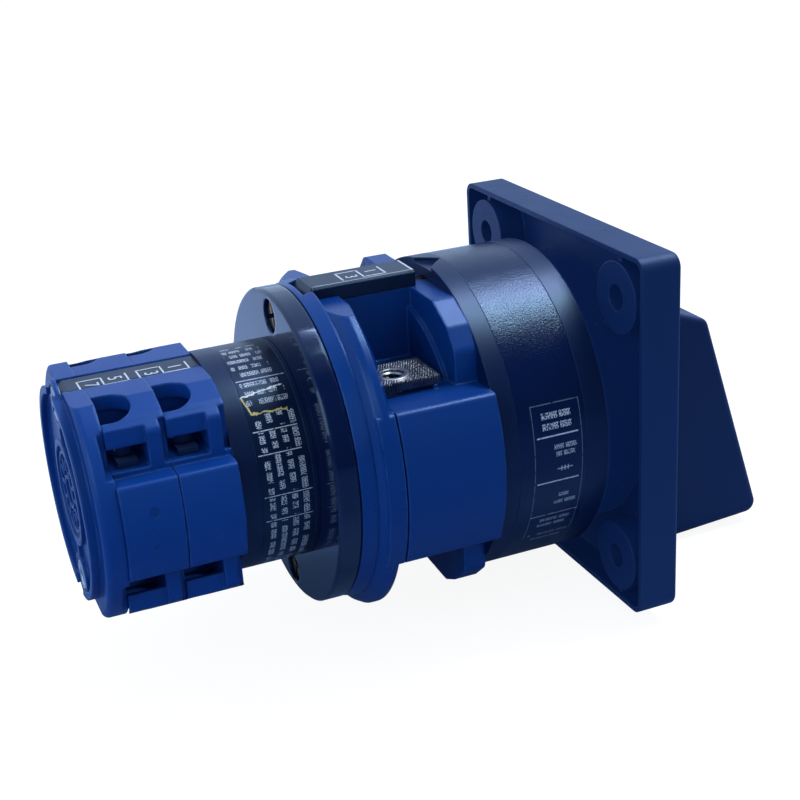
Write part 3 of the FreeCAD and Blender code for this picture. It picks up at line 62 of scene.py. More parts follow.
SIDES = {"near": -1, "far": 1}
LEVELS = {"top": 1, "bottom": -1}
Pair = tuple[float, float]
Triple = tuple[float, float, float]
Socket = bpy.types.NodeSocket


def clear_colour(colour: Triple) -> tuple[float, float, float, float]:
    """Colour with full alpha, as sockets take it."""
    return (*colour, 1.0)


def scaled(colour: Triple, factor: float) -> Triple:
    """Colour made lighter or darker by a factor."""
    return tuple(min(1.0, factor * value) for value in colour)


# Materials

BLACK = (0.0, 0.0, 0.0)
WHITE = (1.0, 1.0, 1.0)
SHEEN = clear_colour((0.42, 0.68, 1.0))
DUST_COLOUR = (0.42, 0.46, 0.54)
# Edge colour of the dark mouldings, lighter than their body: partly wear, partly a painted edge highlight.
DARK_EDGE = (0.016, 0.036, 0.11)
LATCH_NAVY = (0.0020, 0.0085, 0.046)
STAGE_BLUE = (0.0012, 0.0295, 0.172)
TORN_PAPER = (0.50, 0.42, 0.14)
TORN_FILM = (0.75, 0.78, 0.82)


class Wire:
    """A number socket on which Python's operators add Math nodes."""

    def __init__(self, desk: "Desk", socket: Socket) -> None:
        """Wrap one output socket of a desk's tree."""
        self.desk = desk
        self.socket = socket

    def maths(self, operation: str, *terms: object) -> "Wire":
        """Result of one Math node on wires or numbers, in the order of its sockets."""
        node = self.desk.add("ShaderNodeMath", {"operation": operation}, dict(enumerate(terms)))
        return Wire(self.desk, node.outputs[0])

    def __add__(self, other: object) -> "Wire":
        """Sum."""
        return self.maths("ADD", self, other)

    def __radd__(self, other: object) -> "Wire":
        """Sum with a number on the left."""
        return self.maths("ADD", other, self)

    def __sub__(self, other: object) -> "Wire":
        """Difference."""
        return self.maths("SUBTRACT", self, other)

    def __rsub__(self, other: object) -> "Wire":
        """Difference from a number."""
        return self.maths("SUBTRACT", other, self)

    def __mul__(self, other: object) -> "Wire":
        """Product."""
        return self.maths("MULTIPLY", self, other)

    def __rmul__(self, other: object) -> "Wire":
        """Product with a number on the left."""
        return self.maths("MULTIPLY", other, self)

    def __neg__(self) -> "Wire":
        """Negative."""
        return self.maths("MULTIPLY", self, -1.0)

    def __abs__(self) -> "Wire":
        """Distance from zero."""
        return self.maths("ABSOLUTE", self)

    def below(self, edge: object) -> "Wire":
        """1 where the value is below the edge, else 0."""
        return self.maths("LESS_THAN", self, edge)

    def above(self, edge: object) -> "Wire":
        """1 where the value is above the edge, else 0."""
        return self.maths("GREATER_THAN", self, edge)

    def between(self, low: float, high: float) -> "Wire":
        """1 between two values, else 0."""
        return self.above(low) * self.below(high)

    def least(self, other: object) -> "Wire":
        """The smaller of two values."""
        return self.maths("MINIMUM", self, other)

    def most(self, other: object) -> "Wire":
        """The larger of two values."""
        return self.maths("MAXIMUM", self, other)

    def floor(self) -> "Wire":
        """The whole number below."""
        return self.maths("FLOOR", self)

    def sine(self) -> "Wire":
        """Sine of an angle in radians."""
        return self.maths("SINE", self)

    def root(self) -> "Wire":
        """Square root."""
        return self.maths("SQRT", self)

    def ramp(self, low: float, high: float) -> "Wire":
        """Smooth step.

        Args:
            low: Value that gives 0.
            high: Value that gives 1.

        Returns:
            The step as a wire.
        """
        node = self.desk.add("ShaderNodeMapRange", {"interpolation_type": "SMOOTHSTEP"},
                             {"Value": self, "From Min": low, "From Max": high})
        return Wire(self.desk, node.outputs["Result"])


class Desk:
    """Builds the nodes of one material, or of the world."""

    def __init__(self, owner: bpy.types.Material | bpy.types.World) -> None:
        """Start with an empty node tree.

        Args:
            owner: The material or world that the nodes belong to.
        """
        owner.use_nodes = True
        self.owner = owner
        self.tree = owner.node_tree
        self.tree.nodes.clear()
        self.coordinates: Socket | None = None

    def add(self, kind: str, settings: dict[str, object] | None = None,
            values: dict[object, object] | None = None) -> bpy.types.Node:
        """Add one node.

        Args:
            kind: The node's type.
            settings: Properties of the node, set first.
            values: Values, sockets or wires for its inputs, by name or number.

        Returns:
            The node.
        """
        node = self.tree.nodes.new(kind)
        for name, value in (settings or {}).items():
            setattr(node, name, value)
        for name, value in (values or {}).items():
            socket = node.inputs[name]
            value = value.socket if isinstance(value, Wire) else value
            if isinstance(value, Socket):
                self.tree.links.new(value, socket)
            else:
                socket.default_value = value
        return node

    def place(self) -> Socket:
        """Point of the surface in the part's frame.

        Returns:
            The point, from one node that the whole material shares.
        """
        if self.coordinates is None:
            self.coordinates = self.add("ShaderNodeTexCoord").outputs["Object"]
        return self.coordinates

    def along(self) -> tuple[Wire, Wire, Wire]:
        """The three coordinates of the surface point, in millimetres."""
        node = self.add("ShaderNodeSeparateXYZ", None, {0: self.place()})
        return tuple(Wire(self, output) * METRE for output in node.outputs)

    def around(self) -> Wire:
        """Angle about the switch axis in degrees, 0 at the near side and rising to the top."""
        across, _, up = self.along()
        return up.maths("ARCTAN2", up, -across) * math.degrees(1.0)

    def stretched(self, across: float, axis: float, up: float) -> Socket:
        """Point of the surface with its three coordinates scaled."""
        node = self.add("ShaderNodeMapping", None, {"Vector": self.place(), "Scale": (across, axis, up)})
        return node.outputs[0]

    def noise(self, size: float, detail: float = 3.0, roughness: float = 0.5,
              vector: Socket | None = None) -> Wire:
        """Noise between 0 and 1.

        Args:
            size: Rough size of one patch in millimetres.
            detail: Octaves of finer noise.
            roughness: Weight of the finer noise.
            vector: Point to read instead of the surface point.

        Returns:
            The noise as a wire.
        """
        values = {"Vector": vector or self.place(), "Scale": METRE / size, "Detail": detail,
                  "Roughness": roughness}
        node = self.add("ShaderNodeTexNoise", None, values)
        return Wire(self, node.outputs[0])

    def spot(self, centre: Triple, radius: float, soft: float = 0.15) -> Wire:
        """1 within a short distance of a point.

        Args:
            centre: The point in millimetres.
            radius: The distance in millimetres.
            soft: Width of the fall to 0 in millimetres.

        Returns:
            The mask as a wire.
        """
        point = tuple(MM * value for value in centre)
        node = self.add("ShaderNodeVectorMath", {"operation": "DISTANCE"}, {0: self.place(), 1: point})
        return 1.0 - (Wire(self, node.outputs["Value"]) * METRE).ramp(radius - soft, radius + soft)

    def blend(self, factor: object, first: object, second: object) -> Socket:
        """Mix two colours.

        Args:
            factor: Share of the second colour.
            first: First colour, a tuple or a socket.
            second: Second colour, a tuple or a socket.

        Returns:
            The mixed colour.
        """
        first = clear_colour(first) if isinstance(first, tuple) else first
        second = clear_colour(second) if isinstance(second, tuple) else second
        node = self.add("ShaderNodeMix", {"data_type": "RGBA"}, {0: factor, 6: first, 7: second})
        return node.outputs[2]

    def mixed(self, factor: object, first: Socket, second: Socket) -> Socket:
        """Two shaders, mixed by the share of the second."""
        return self.add("ShaderNodeMixShader", None, {0: factor, 1: first, 2: second}).outputs[0]

    def backdrop(self, colour: object, strength: float = 1.0) -> Socket:
        """Shader of surroundings with a colour and a strength."""
        return self.add("ShaderNodeBackground", None, {"Color": colour, "Strength": strength}).outputs[0]

    def rounded_edges(self, radius: float) -> tuple[Socket, Wire]:
        """Normal that rounds sharp edges, and how far a point is into such an edge.

        Args:
            radius: Radius of the rounding in millimetres.

        Returns:
            The normal, and a wire that is 0 on flat faces and rises towards edges.
        """
        soft = self.add("ShaderNodeBevel", {"samples": 6}, {"Radius": radius * MM}).outputs[0]
        true = self.add("ShaderNodeNewGeometry").outputs["True Normal"]
        dot = self.add("ShaderNodeVectorMath", {"operation": "DOT_PRODUCT"}, {0: soft, 1: true})
        return soft, 1.0 - Wire(self, dot.outputs["Value"])

    def bump(self, height: Wire, depth: float, normal: Socket) -> Socket:
        """Normal bent by a height between 0 and 1 that stands for a depth in millimetres."""
        values = {"Height": height, "Distance": depth * MM, "Strength": 1.0, "Normal": normal}
        return self.add("ShaderNodeBump", None, values).outputs[0]

    def close(self, **values: object) -> bpy.types.Material:
        """Finish the material with a Principled shader.

        Args:
            values: Values or links of the shader's sockets, with an underscore for each space.

        Returns:
            The material.
        """
        names = {name.replace("_", " "): value for name, value in values.items()}
        shader = self.add("ShaderNodeBsdfPrincipled", None, names)
        self.add("ShaderNodeOutputMaterial", None, {"Surface": shader.outputs[0]})
        return self.owner


@dataclass(frozen=True)
class MouldedPlastic:
    """Moulded plastic with soft edges, a fine grain and slight handling marks.

    Edges are lighter in patches, partly wear and partly a painted edge highlight.
    Seams are planes of a coordinate (0 to 2) at a place; dimples are points with a radius, darkened as
    painted shade of their small recess; lift is a painted glow in the part's own colour that stands for the
    light that reaches shaded hollows up to a place on the axis.
    """

    name: str
    colour: Triple
    wear_and_sheen_edge_colour: Triple
    roughness: float = 0.42
    grain: float = 0.30
    grain_depth: float = 0.010
    edge: float = 0.30
    coat: float = 0.0
    coat_roughness: float = 0.10
    dust: float = 0.05
    shine: float = 0.42
    lift: float = 0.0
    lift_end: float = METRE
    seams: tuple[tuple[int, float], ...] = ()
    dimples: tuple[tuple[Triple, float], ...] = ()
    cloud_size: float = 9.0
    speck_size: float = 0.9
    scuff_size: float = 1.2
    wear_size: float = 2.5
    ripple_size: float = 3.2
    mark_depth: float = 9.0

    def material(self) -> bpy.types.Material:
        """Build the finish.

        Returns:
            The material.
        """
        desk = Desk(bpy.data.materials.new(self.name))
        soft, rim = desk.rounded_edges(self.edge)
        cloud = desk.noise(self.cloud_size, 3.0, 0.6)
        fine = desk.noise(self.grain, 2.0)
        specks = desk.noise(self.speck_size, 3.0, 0.7).ramp(0.68, 0.78)
        scuffs = desk.noise(self.scuff_size, 4.0, 0.65, desk.stretched(1.0, 6.0, 1.4)).ramp(0.60, 0.78)
        # Edges are lighter in patches, towards the edge colour: partly wear and partly a painted edge
        # highlight.
        worn = (rim * 5.0).least(1.0) * desk.noise(self.wear_size, 3.0, 0.6).ramp(0.30, 0.65)
        tone = desk.blend(cloud * 0.30, self.colour, scaled(self.colour, 0.7))
        tone = desk.blend(worn * 0.5, tone, self.wear_and_sheen_edge_colour)
        tone = desk.blend(specks * self.dust, tone, DUST_COLOUR)
        rough = self.roughness + (cloud - 0.5) * 0.14 + scuffs * 0.10 - worn * 0.04
        relief = fine * 0.7 + desk.noise(self.ripple_size, 2.0, 0.4) * 0.8
        marks = self.marks(desk)
        if marks is not None:
            # Seams and dimples are darkened: a seam as the dark line of the joint, a dimple as painted shade
            # of its small recess.
            tone = desk.blend(marks * 0.40, tone, scaled(self.colour, 0.40))
            relief = relief - marks * self.mark_depth
        # Painted glow: the part's own colour is emitted, up to lift_end on the axis, as light in shaded
        # hollows.
        shade = desk.along()[1].below(self.lift_end) if self.lift else 0.0
        return desk.close(Base_Color=tone, Roughness=rough, Normal=desk.bump(relief, self.grain_depth, soft),
                          Coat_Weight=self.coat, Coat_Roughness=self.coat_roughness,
                          Specular_IOR_Level=self.shine, Specular_Tint=SHEEN,
                          Emission_Color=desk.blend(shade, BLACK, tone), Emission_Strength=self.lift)

    def marks(self, desk: Desk) -> Wire | None:
        """Mask of the parting seams and the dimples.

        Args:
            desk: The material's node desk.

        Returns:
            The mask, or nothing where the finish has no such marks.
        """
        place = desk.along() if self.seams else ()
        masks = [1.0 - abs(place[axis] - value).ramp(0.05, 0.14) for axis, value in self.seams]
        masks += [desk.spot(centre, radius) for centre, radius in self.dimples]
        total = masks[0] if masks else None
        for mask in masks[1:]:
            total = total.most(mask)
        return total


@dataclass(frozen=True)
class PlatedMetal:
    """Plated or bare metal with a drawn or turned grain, spots of dulling and soft edges.

    Knurl is the pitch of a serrated surface; dark_end is a place on the axis with deep shade before it.
    """

    name: str
    colour: Triple
    second_colour: Triple
    roughness: float = 0.28
    grain: Triple = (1.0, 1.0, 1.0)
    grain_depth: float = 0.006
    edge: float = 0.12
    knurl: float = 0.0
    knurl_depth: float = 4.0
    dark_end: float | None = None
    cloud_size: float = 2.6
    line_size: float = 0.35
    spot_size: float = 0.5

    def material(self) -> bpy.types.Material:
        """Build the finish.

        Returns:
            The material.
        """
        desk = Desk(bpy.data.materials.new(self.name))
        soft, rim = desk.rounded_edges(self.edge)
        cloud = desk.noise(self.cloud_size, 4.0, 0.6)
        lines = desk.noise(self.line_size, 3.0, 0.6, desk.stretched(*self.grain))
        spots = desk.noise(self.spot_size, 3.0, 0.7).ramp(0.62, 0.74)
        tone = desk.blend(cloud.ramp(0.30, 0.72), self.colour, self.second_colour)
        tone = desk.blend(spots * 0.4, tone, scaled(self.colour, 0.4))
        # Edges painted lighter: a painted edge highlight.
        tone = desk.blend((rim * 5.0).least(1.0) * 0.5, tone, scaled(self.colour, 1.25))
        # Painted shade: the part of the screw before dark_end, inside the housing, is darkened.
        if self.dark_end is not None:
            tone = desk.blend(desk.along()[1].below(self.dark_end), tone, scaled(self.second_colour, 0.12))
        rough = self.roughness + (cloud - 0.5) * 0.18 + spots * 0.22 + lines * 0.08
        relief = lines
        if self.knurl:
            across, axis, _ = desk.along()
            wave = FULL_TURN / self.knurl
            relief = relief + (axis * wave).sine() * (across * (0.45 * wave)).sine() * self.knurl_depth
        return desk.close(Base_Color=tone, Metallic=1.0, Roughness=rough,
                          Normal=desk.bump(relief, self.grain_depth, soft))


@dataclass(frozen=True)
class PrintArea:
    """Patch of a round label between two places on the axis and two angles.

    It is solid ink, or with a pitch it holds rows of meaningless fine marks in groups of uneven length.
    """

    start: float
    end: float
    low: float
    high: float
    pitch: float = 0.0
    height: float = 0.7
    dash: float = 1.6
    turned: bool = False
    strength: float = 1.0
    row_shift: float = 0.37
    shortest_group: float = 0.35
    group_spread: float = 0.6
    marks_per_millimetre: float = 3.4
    marks_per_row: float = 2.0
    disorder: float = 0.85
    stroke: float = 0.17

    def mask(self, desk: Desk, axis: Wire, angle: Wire, radius: float) -> Wire:
        """Mask of the area's ink.

        Args:
            desk: The material's node desk.
            axis: Place along the switch axis in millimetres.
            angle: Angle about it in degrees.
            radius: The label's radius in millimetres.

        Returns:
            The mask as a wire.
        """
        inside = axis.between(self.start, self.end) * angle.between(self.low, self.high) * self.strength
        if not self.pitch:
            return inside
        arc = (angle - self.low) * math.radians(radius)
        line = axis - self.start
        along, across = (arc, line) if self.turned else (line, arc)
        return inside * self.marks(desk, along, across)

    def marks(self, desk: Desk, along: Wire, across: Wire) -> Wire:
        """Mask of the rows of marks.

        Args:
            desk: The material's node desk.
            along: Place along the rows in millimetres.
            across: Place across the rows in millimetres.

        Returns:
            1 on the marks, else 0.
        """
        line = across * (1.0 / self.pitch)
        row = line.floor()
        step = along * (1.0 / self.dash) + row * self.row_shift
        cell = step.floor()
        point = desk.add("ShaderNodeCombineXYZ", None, {0: cell, 1: row}).outputs[0]
        random = desk.add("ShaderNodeTexWhiteNoise", {"noise_dimensions": "2D"}, {"Vector": point})
        length = Wire(desk, random.outputs["Value"]) * self.group_spread + self.shortest_group
        group = abs(line - row - 0.5).below(0.5 * self.height / self.pitch) * (step - cell).below(length)
        fine = {0: along * self.marks_per_millimetre,
                1: line * (self.pitch / self.height * self.marks_per_row)}
        point = desk.add("ShaderNodeCombineXYZ", None, fine).outputs[0]
        cells = desk.add("ShaderNodeTexVoronoi", {"feature": "DISTANCE_TO_EDGE", "voronoi_dimensions": "2D"},
                         {"Vector": point, "Scale": 1.0, "Randomness": self.disorder})
        return group * Wire(desk, cells.outputs["Distance"]).below(self.stroke)


@dataclass(frozen=True)
class Crease:
    """Torn edge on a label film, a stroke between two points given as place on the axis and angle."""

    start: Pair
    end: Pair
    colour: Triple
    width: float = 0.20

    def mask(self, axis: Wire, arc: Wire, unit: float) -> Wire:
        """Mask of the stroke.

        Args:
            axis: Place along the switch axis in millimetres.
            arc: Place round the film in millimetres.
            unit: Millimetres round the film for one degree.

        Returns:
            The mask as a wire.
        """
        across, up = self.end[0] - self.start[0], (self.end[1] - self.start[1]) * unit
        first, second = axis - self.start[0], arc - self.start[1] * unit
        share = ((first * across + second * up) * (1.0 / (across ** 2 + up ** 2))).most(0.0).least(1.0)
        first, second = first - share * across, second - share * up
        return 1.0 - (first * first + second * second).root().ramp(self.width * 0.5, self.width)


@dataclass(frozen=True)
class LabelFilm:
    """Dark label film with plain rulings and rows of marks, and creases where it has lifted."""

    name: str
    colour: Triple
    radius: float
    areas: tuple[PrintArea, ...]
    creases: tuple[Crease, ...] = ()
    ink: Triple = DUST_COLOUR
    roughness: float = 0.30
    grain: float = 0.5
    grain_depth: float = 0.03
    edge: float = 0.15
    cloud_size: float = 5.0
    wear_size: float = 0.8
    ripple_size: float = 4.5
    tear_size: float = 1.0
    tear_swing: float = 1.3
    crease_height: float = 3.0

    def material(self) -> bpy.types.Material:
        """Build the finish.

        Returns:
            The material.
        """
        desk = Desk(bpy.data.materials.new(self.name))
        soft, rim = desk.rounded_edges(self.edge)
        axis = desk.along()[1]
        angle = desk.around()
        ink = self.areas[0].mask(desk, axis, angle, self.radius)
        for area in self.areas[1:]:
            ink = ink.most(area.mask(desk, axis, angle, self.radius))
        worn = desk.noise(self.wear_size, 3.0, 0.7).ramp(0.30, 0.48)
        cloud = desk.noise(self.cloud_size, 4.0, 0.6)
        tone = desk.blend(cloud * 0.4, self.colour, scaled(self.colour, 0.5))
        # Film edges painted lighter: a painted edge highlight.
        tone = desk.blend((rim * 4.0).least(1.0) * 0.5, tone, scaled(self.colour, 3.0))
        tone = desk.blend(ink * worn * 0.9, tone, self.ink)
        lift = desk.noise(self.grain, 2.0, 0.55) + desk.noise(self.ripple_size, 2.0) * 1.5
        unit = math.radians(self.radius)
        arc = angle * unit + (desk.noise(self.tear_size, 3.0, 0.7) - 0.5) * self.tear_swing
        for crease in self.creases:
            torn = crease.mask(axis, arc, unit)
            tone = desk.blend(torn * 0.9, tone, crease.colour)
            lift = lift + torn * self.crease_height
        rough = self.roughness + (cloud - 0.5) * 0.08 + ink * 0.12
        return desk.close(Base_Color=tone, Roughness=rough, Normal=desk.bump(lift, self.grain_depth, soft),
                          Specular_IOR_Level=0.42, Specular_Tint=SHEEN)


def rule(start: float, end: float, angle: float, thickness: float = 0.5, strength: float = 1.0) -> PrintArea:
    """Ruled line along the axis at an angle, its thickness in degrees."""
    return PrintArea(start, end, angle - thickness / 2, angle + thickness / 2, strength=strength)


def row(start: float, end: float, angle: float, height: float = 0.85, strength: float = 1.0) -> PrintArea:
    """One row of marks along the axis on the latch, about an angle, its height in millimetres."""
    half = math.degrees(height / 2 / LATCH_RADIUS)
    return PrintArea(start, end, angle - half, angle + half, height, 0.95 * height, 2.4, strength=strength)


LATCH_RADIUS = 28.3
COLLAR_RADIUS = 19.0
LATCH_PRINT = (
    rule(8.9, 17.9, 19.0, 0.4, 0.2), rule(8.9, 17.9, -23.8, 0.4, 0.5),
    *(PrintArea(start, start + 0.15, -36.5, 19.0, strength=0.2) for start in (17.75, 8.9)),
    row(10.7, 16.1, 15.0, 1.15), row(10.7, 16.1, 11.3, 1.15), rule(9.6, 17.3, 7.9),
    row(10.0, 14.2, 3.8, 0.9, 0.8), row(10.4, 13.9, 1.2, 0.9, 0.8), rule(10.8, 13.7, -4.4, 0.4, 0.7),
    *(PrintArea(start, start + 0.15, -5.3, -3.5) for start in (11.6, 12.2, 12.8)),
    rule(9.6, 17.4, -9.0), row(11.2, 13.1, -15.2, 0.8, 0.7), row(9.7, 13.8, -18.3, 0.8, 0.7),
    row(10.0, 16.7, -26.6, 0.8, 0.55), row(10.7, 16.0, -29.4, 0.8, 0.55),
    row(9.4, 17.0, -35.2, 0.7, 0.4), row(10.3, 16.1, -38.4, 0.7, 0.4),
)
COLLAR_PRINT = (
    PrintArea(55.0, 61.4, 63.0, 92.0, 1.75, 0.95, 2.2),
    PrintArea(54.2, 61.2, 45.5, 60.0, 1.75, 0.95, 2.0),
    rule(53.4, 61.6, 61.6), rule(54.0, 61.5, 33.2), rule(54.2, 61.5, 21.6),
    *(rule(53.4, 61.5, angle) for angle in (0.6, -13.0, -49.0)),
    PrintArea(53.6, 61.2, 34.4, 41.4, 1.9, 1.0, 2.6, turned=True),
    *(PrintArea(53.6, 61.4, low, high, 1.9, 1.0, dash, turned=True)
      for low, high, dash in ((22.6, 32.4, 1.6), (1.6, 20.8, 2.2), (-12.0, -0.4, 1.8), (-48.0, -14.0, 2.6),
                              (-86.0, -50.0, 2.4))),
)
COLLAR_TEAR = (
    Crease((61.8, 52.0), (60.9, 42.5), TORN_PAPER),
    Crease((60.9, 42.3), (55.0, 42.0), TORN_PAPER),
    Crease((61.8, 52.0), (54.6, 55.4), TORN_FILM),
)


class Finishes:
    """All finishes of the switch, each built when it is first asked for."""

    RECIPES = (
        # The plate and latch mouldings carry lift, a painted glow that stands for light in their shaded
        # hollows.
        MouldedPlastic("plate_moulding", (0.0026, 0.0128, 0.066), (0.016, 0.040, 0.12), 0.50, lift=0.36,
                       dimples=(((14.6, -3.7, 32.3), 0.55), ((-13.6, -3.8, 32.3), 0.55),
                                ((-22.0, -5.2, -0.6), 0.35))),
        MouldedPlastic("handle_moulding", (0.0045, 0.0155, 0.078), (0.020, 0.050, 0.15), 0.46),
        MouldedPlastic("latch_moulding", LATCH_NAVY, DARK_EDGE, 0.36, grain_depth=0.012, dust=0.06,
                       lift=0.9, lift_end=4.0),
        MouldedPlastic("collar_moulding", (0.0022, 0.0080, 0.042), DARK_EDGE, 0.36),
        MouldedPlastic("strip_moulding", (0.0035, 0.0085, 0.030), (0.020, 0.035, 0.080), 0.34,
                       grain_depth=0.006, seams=((1, 45.0), (1, 27.9))),
        MouldedPlastic("gloss_moulding", (0.0020, 0.0070, 0.038), DARK_EDGE, 0.10, grain_depth=0.003,
                       edge=0.8, coat=0.3, coat_roughness=0.03, dust=0.10),
        MouldedPlastic("main_blue_moulding", STAGE_BLUE, (0.035, 0.110, 0.38), 0.36, edge=0.55,
                       dimples=(((17.2, 28.0, 24.0), 0.45),)),
        MouldedPlastic("cover_blue_moulding", STAGE_BLUE, (0.040, 0.120, 0.40), 0.28, edge=0.55),
        MouldedPlastic("rear_blue_moulding", (0.0012, 0.034, 0.205), (0.035, 0.110, 0.39), 0.38, edge=0.60,
                       dimples=(((-21.7, 79.7, 3.4), 0.8), ((-21.9, 80.0, -2.3), 0.4))),
        LabelFilm("latch_label", LATCH_NAVY, LATCH_RADIUS, LATCH_PRINT, ink=(0.45, 0.50, 0.62),
                  roughness=0.12, grain=0.26, grain_depth=0.055),
        LabelFilm("rear_label", (0.0022, 0.0075, 0.034), COLLAR_RADIUS, COLLAR_PRINT, COLLAR_TEAR,
                  (0.46, 0.51, 0.60), grain_depth=0.018),
        MouldedPlastic("print_ink", (0.50, 0.54, 0.62), (0.70, 0.74, 0.80), 0.5, dust=0.0, edge=0.05),
        MouldedPlastic("insulating_moulding", (0.62, 0.58, 0.48), (0.70, 0.68, 0.60), 0.5),
        PlatedMetal("plated_steel", (0.60, 0.61, 0.63), (0.42, 0.44, 0.50)),
        PlatedMetal("dull_steel", (0.55, 0.58, 0.68), (0.36, 0.40, 0.52), 0.40),
        PlatedMetal("yellow_plated_steel", (0.36, 0.25, 0.12), (0.20, 0.13, 0.09), 0.3, dark_end=44.0),
        PlatedMetal("contact_metal", (0.28, 0.29, 0.31), (0.06, 0.07, 0.10), 0.24, grain_depth=0.03,
                    edge=0.80, knurl=0.45),
        # Painted shade: metal darkened to navy for the contacts and screws deep inside the small stages.
        PlatedMetal("shaded_metal", (0.050, 0.090, 0.210), (0.030, 0.060, 0.150), 0.6),
        PlatedMetal("contact_bar", (0.80, 0.56, 0.28), (0.70, 0.44, 0.20), 0.3),
        PlatedMetal("spring_steel", (0.50, 0.51, 0.53), (0.40, 0.41, 0.43), 0.22),
        PlatedMetal("shaft_steel", (0.52, 0.53, 0.54), (0.40, 0.41, 0.43), 0.3, (1.0, 0.05, 1.0)),
    )

    def __init__(self) -> None:
        """Start with nothing built."""
        self.recipes = {recipe.name: recipe for recipe in self.RECIPES}
        self.built: dict[str, bpy.types.Material] = {}

    def __getitem__(self, name: str) -> bpy.types.Material:
        """Material of a finish.

        Args:
            name: The finish's name.

        Returns:
            The material.
        """
        if name not in self.built:
            self.built[name] = self.recipes[name].material()
        return self.built[name]


# Meshes

UP = Matrix()
DOWN = Matrix.Rotation(math.pi, 4, "X")
BACK = Matrix.Rotation(-math.pi / 2, 4, "X")
FRONT = Matrix.Rotation(math.pi / 2, 4, "X")
THREAD_HALF_WIDTH = 0.42
THREAD_DEPTH = 0.32
THREAD_SINK = 0.05
DOUBLES = 0.0005
INK = 0.04


def outwards(side: int) -> Matrix:
    """Turn that lays an upright form along X, away from the axis."""
    return Matrix.Rotation(side * math.pi / 2, 4, "Y")


def put(place: Triple, turn: Matrix = UP) -> Matrix:
    """Matrix that turns a form and moves it to a place in millimetres."""
    return Matrix.Translation(place) @ turn


def spun(angle: float) -> Matrix:
    """Turn about Z by an angle in radians."""
    return Matrix.Rotation(angle, 4, "Z")


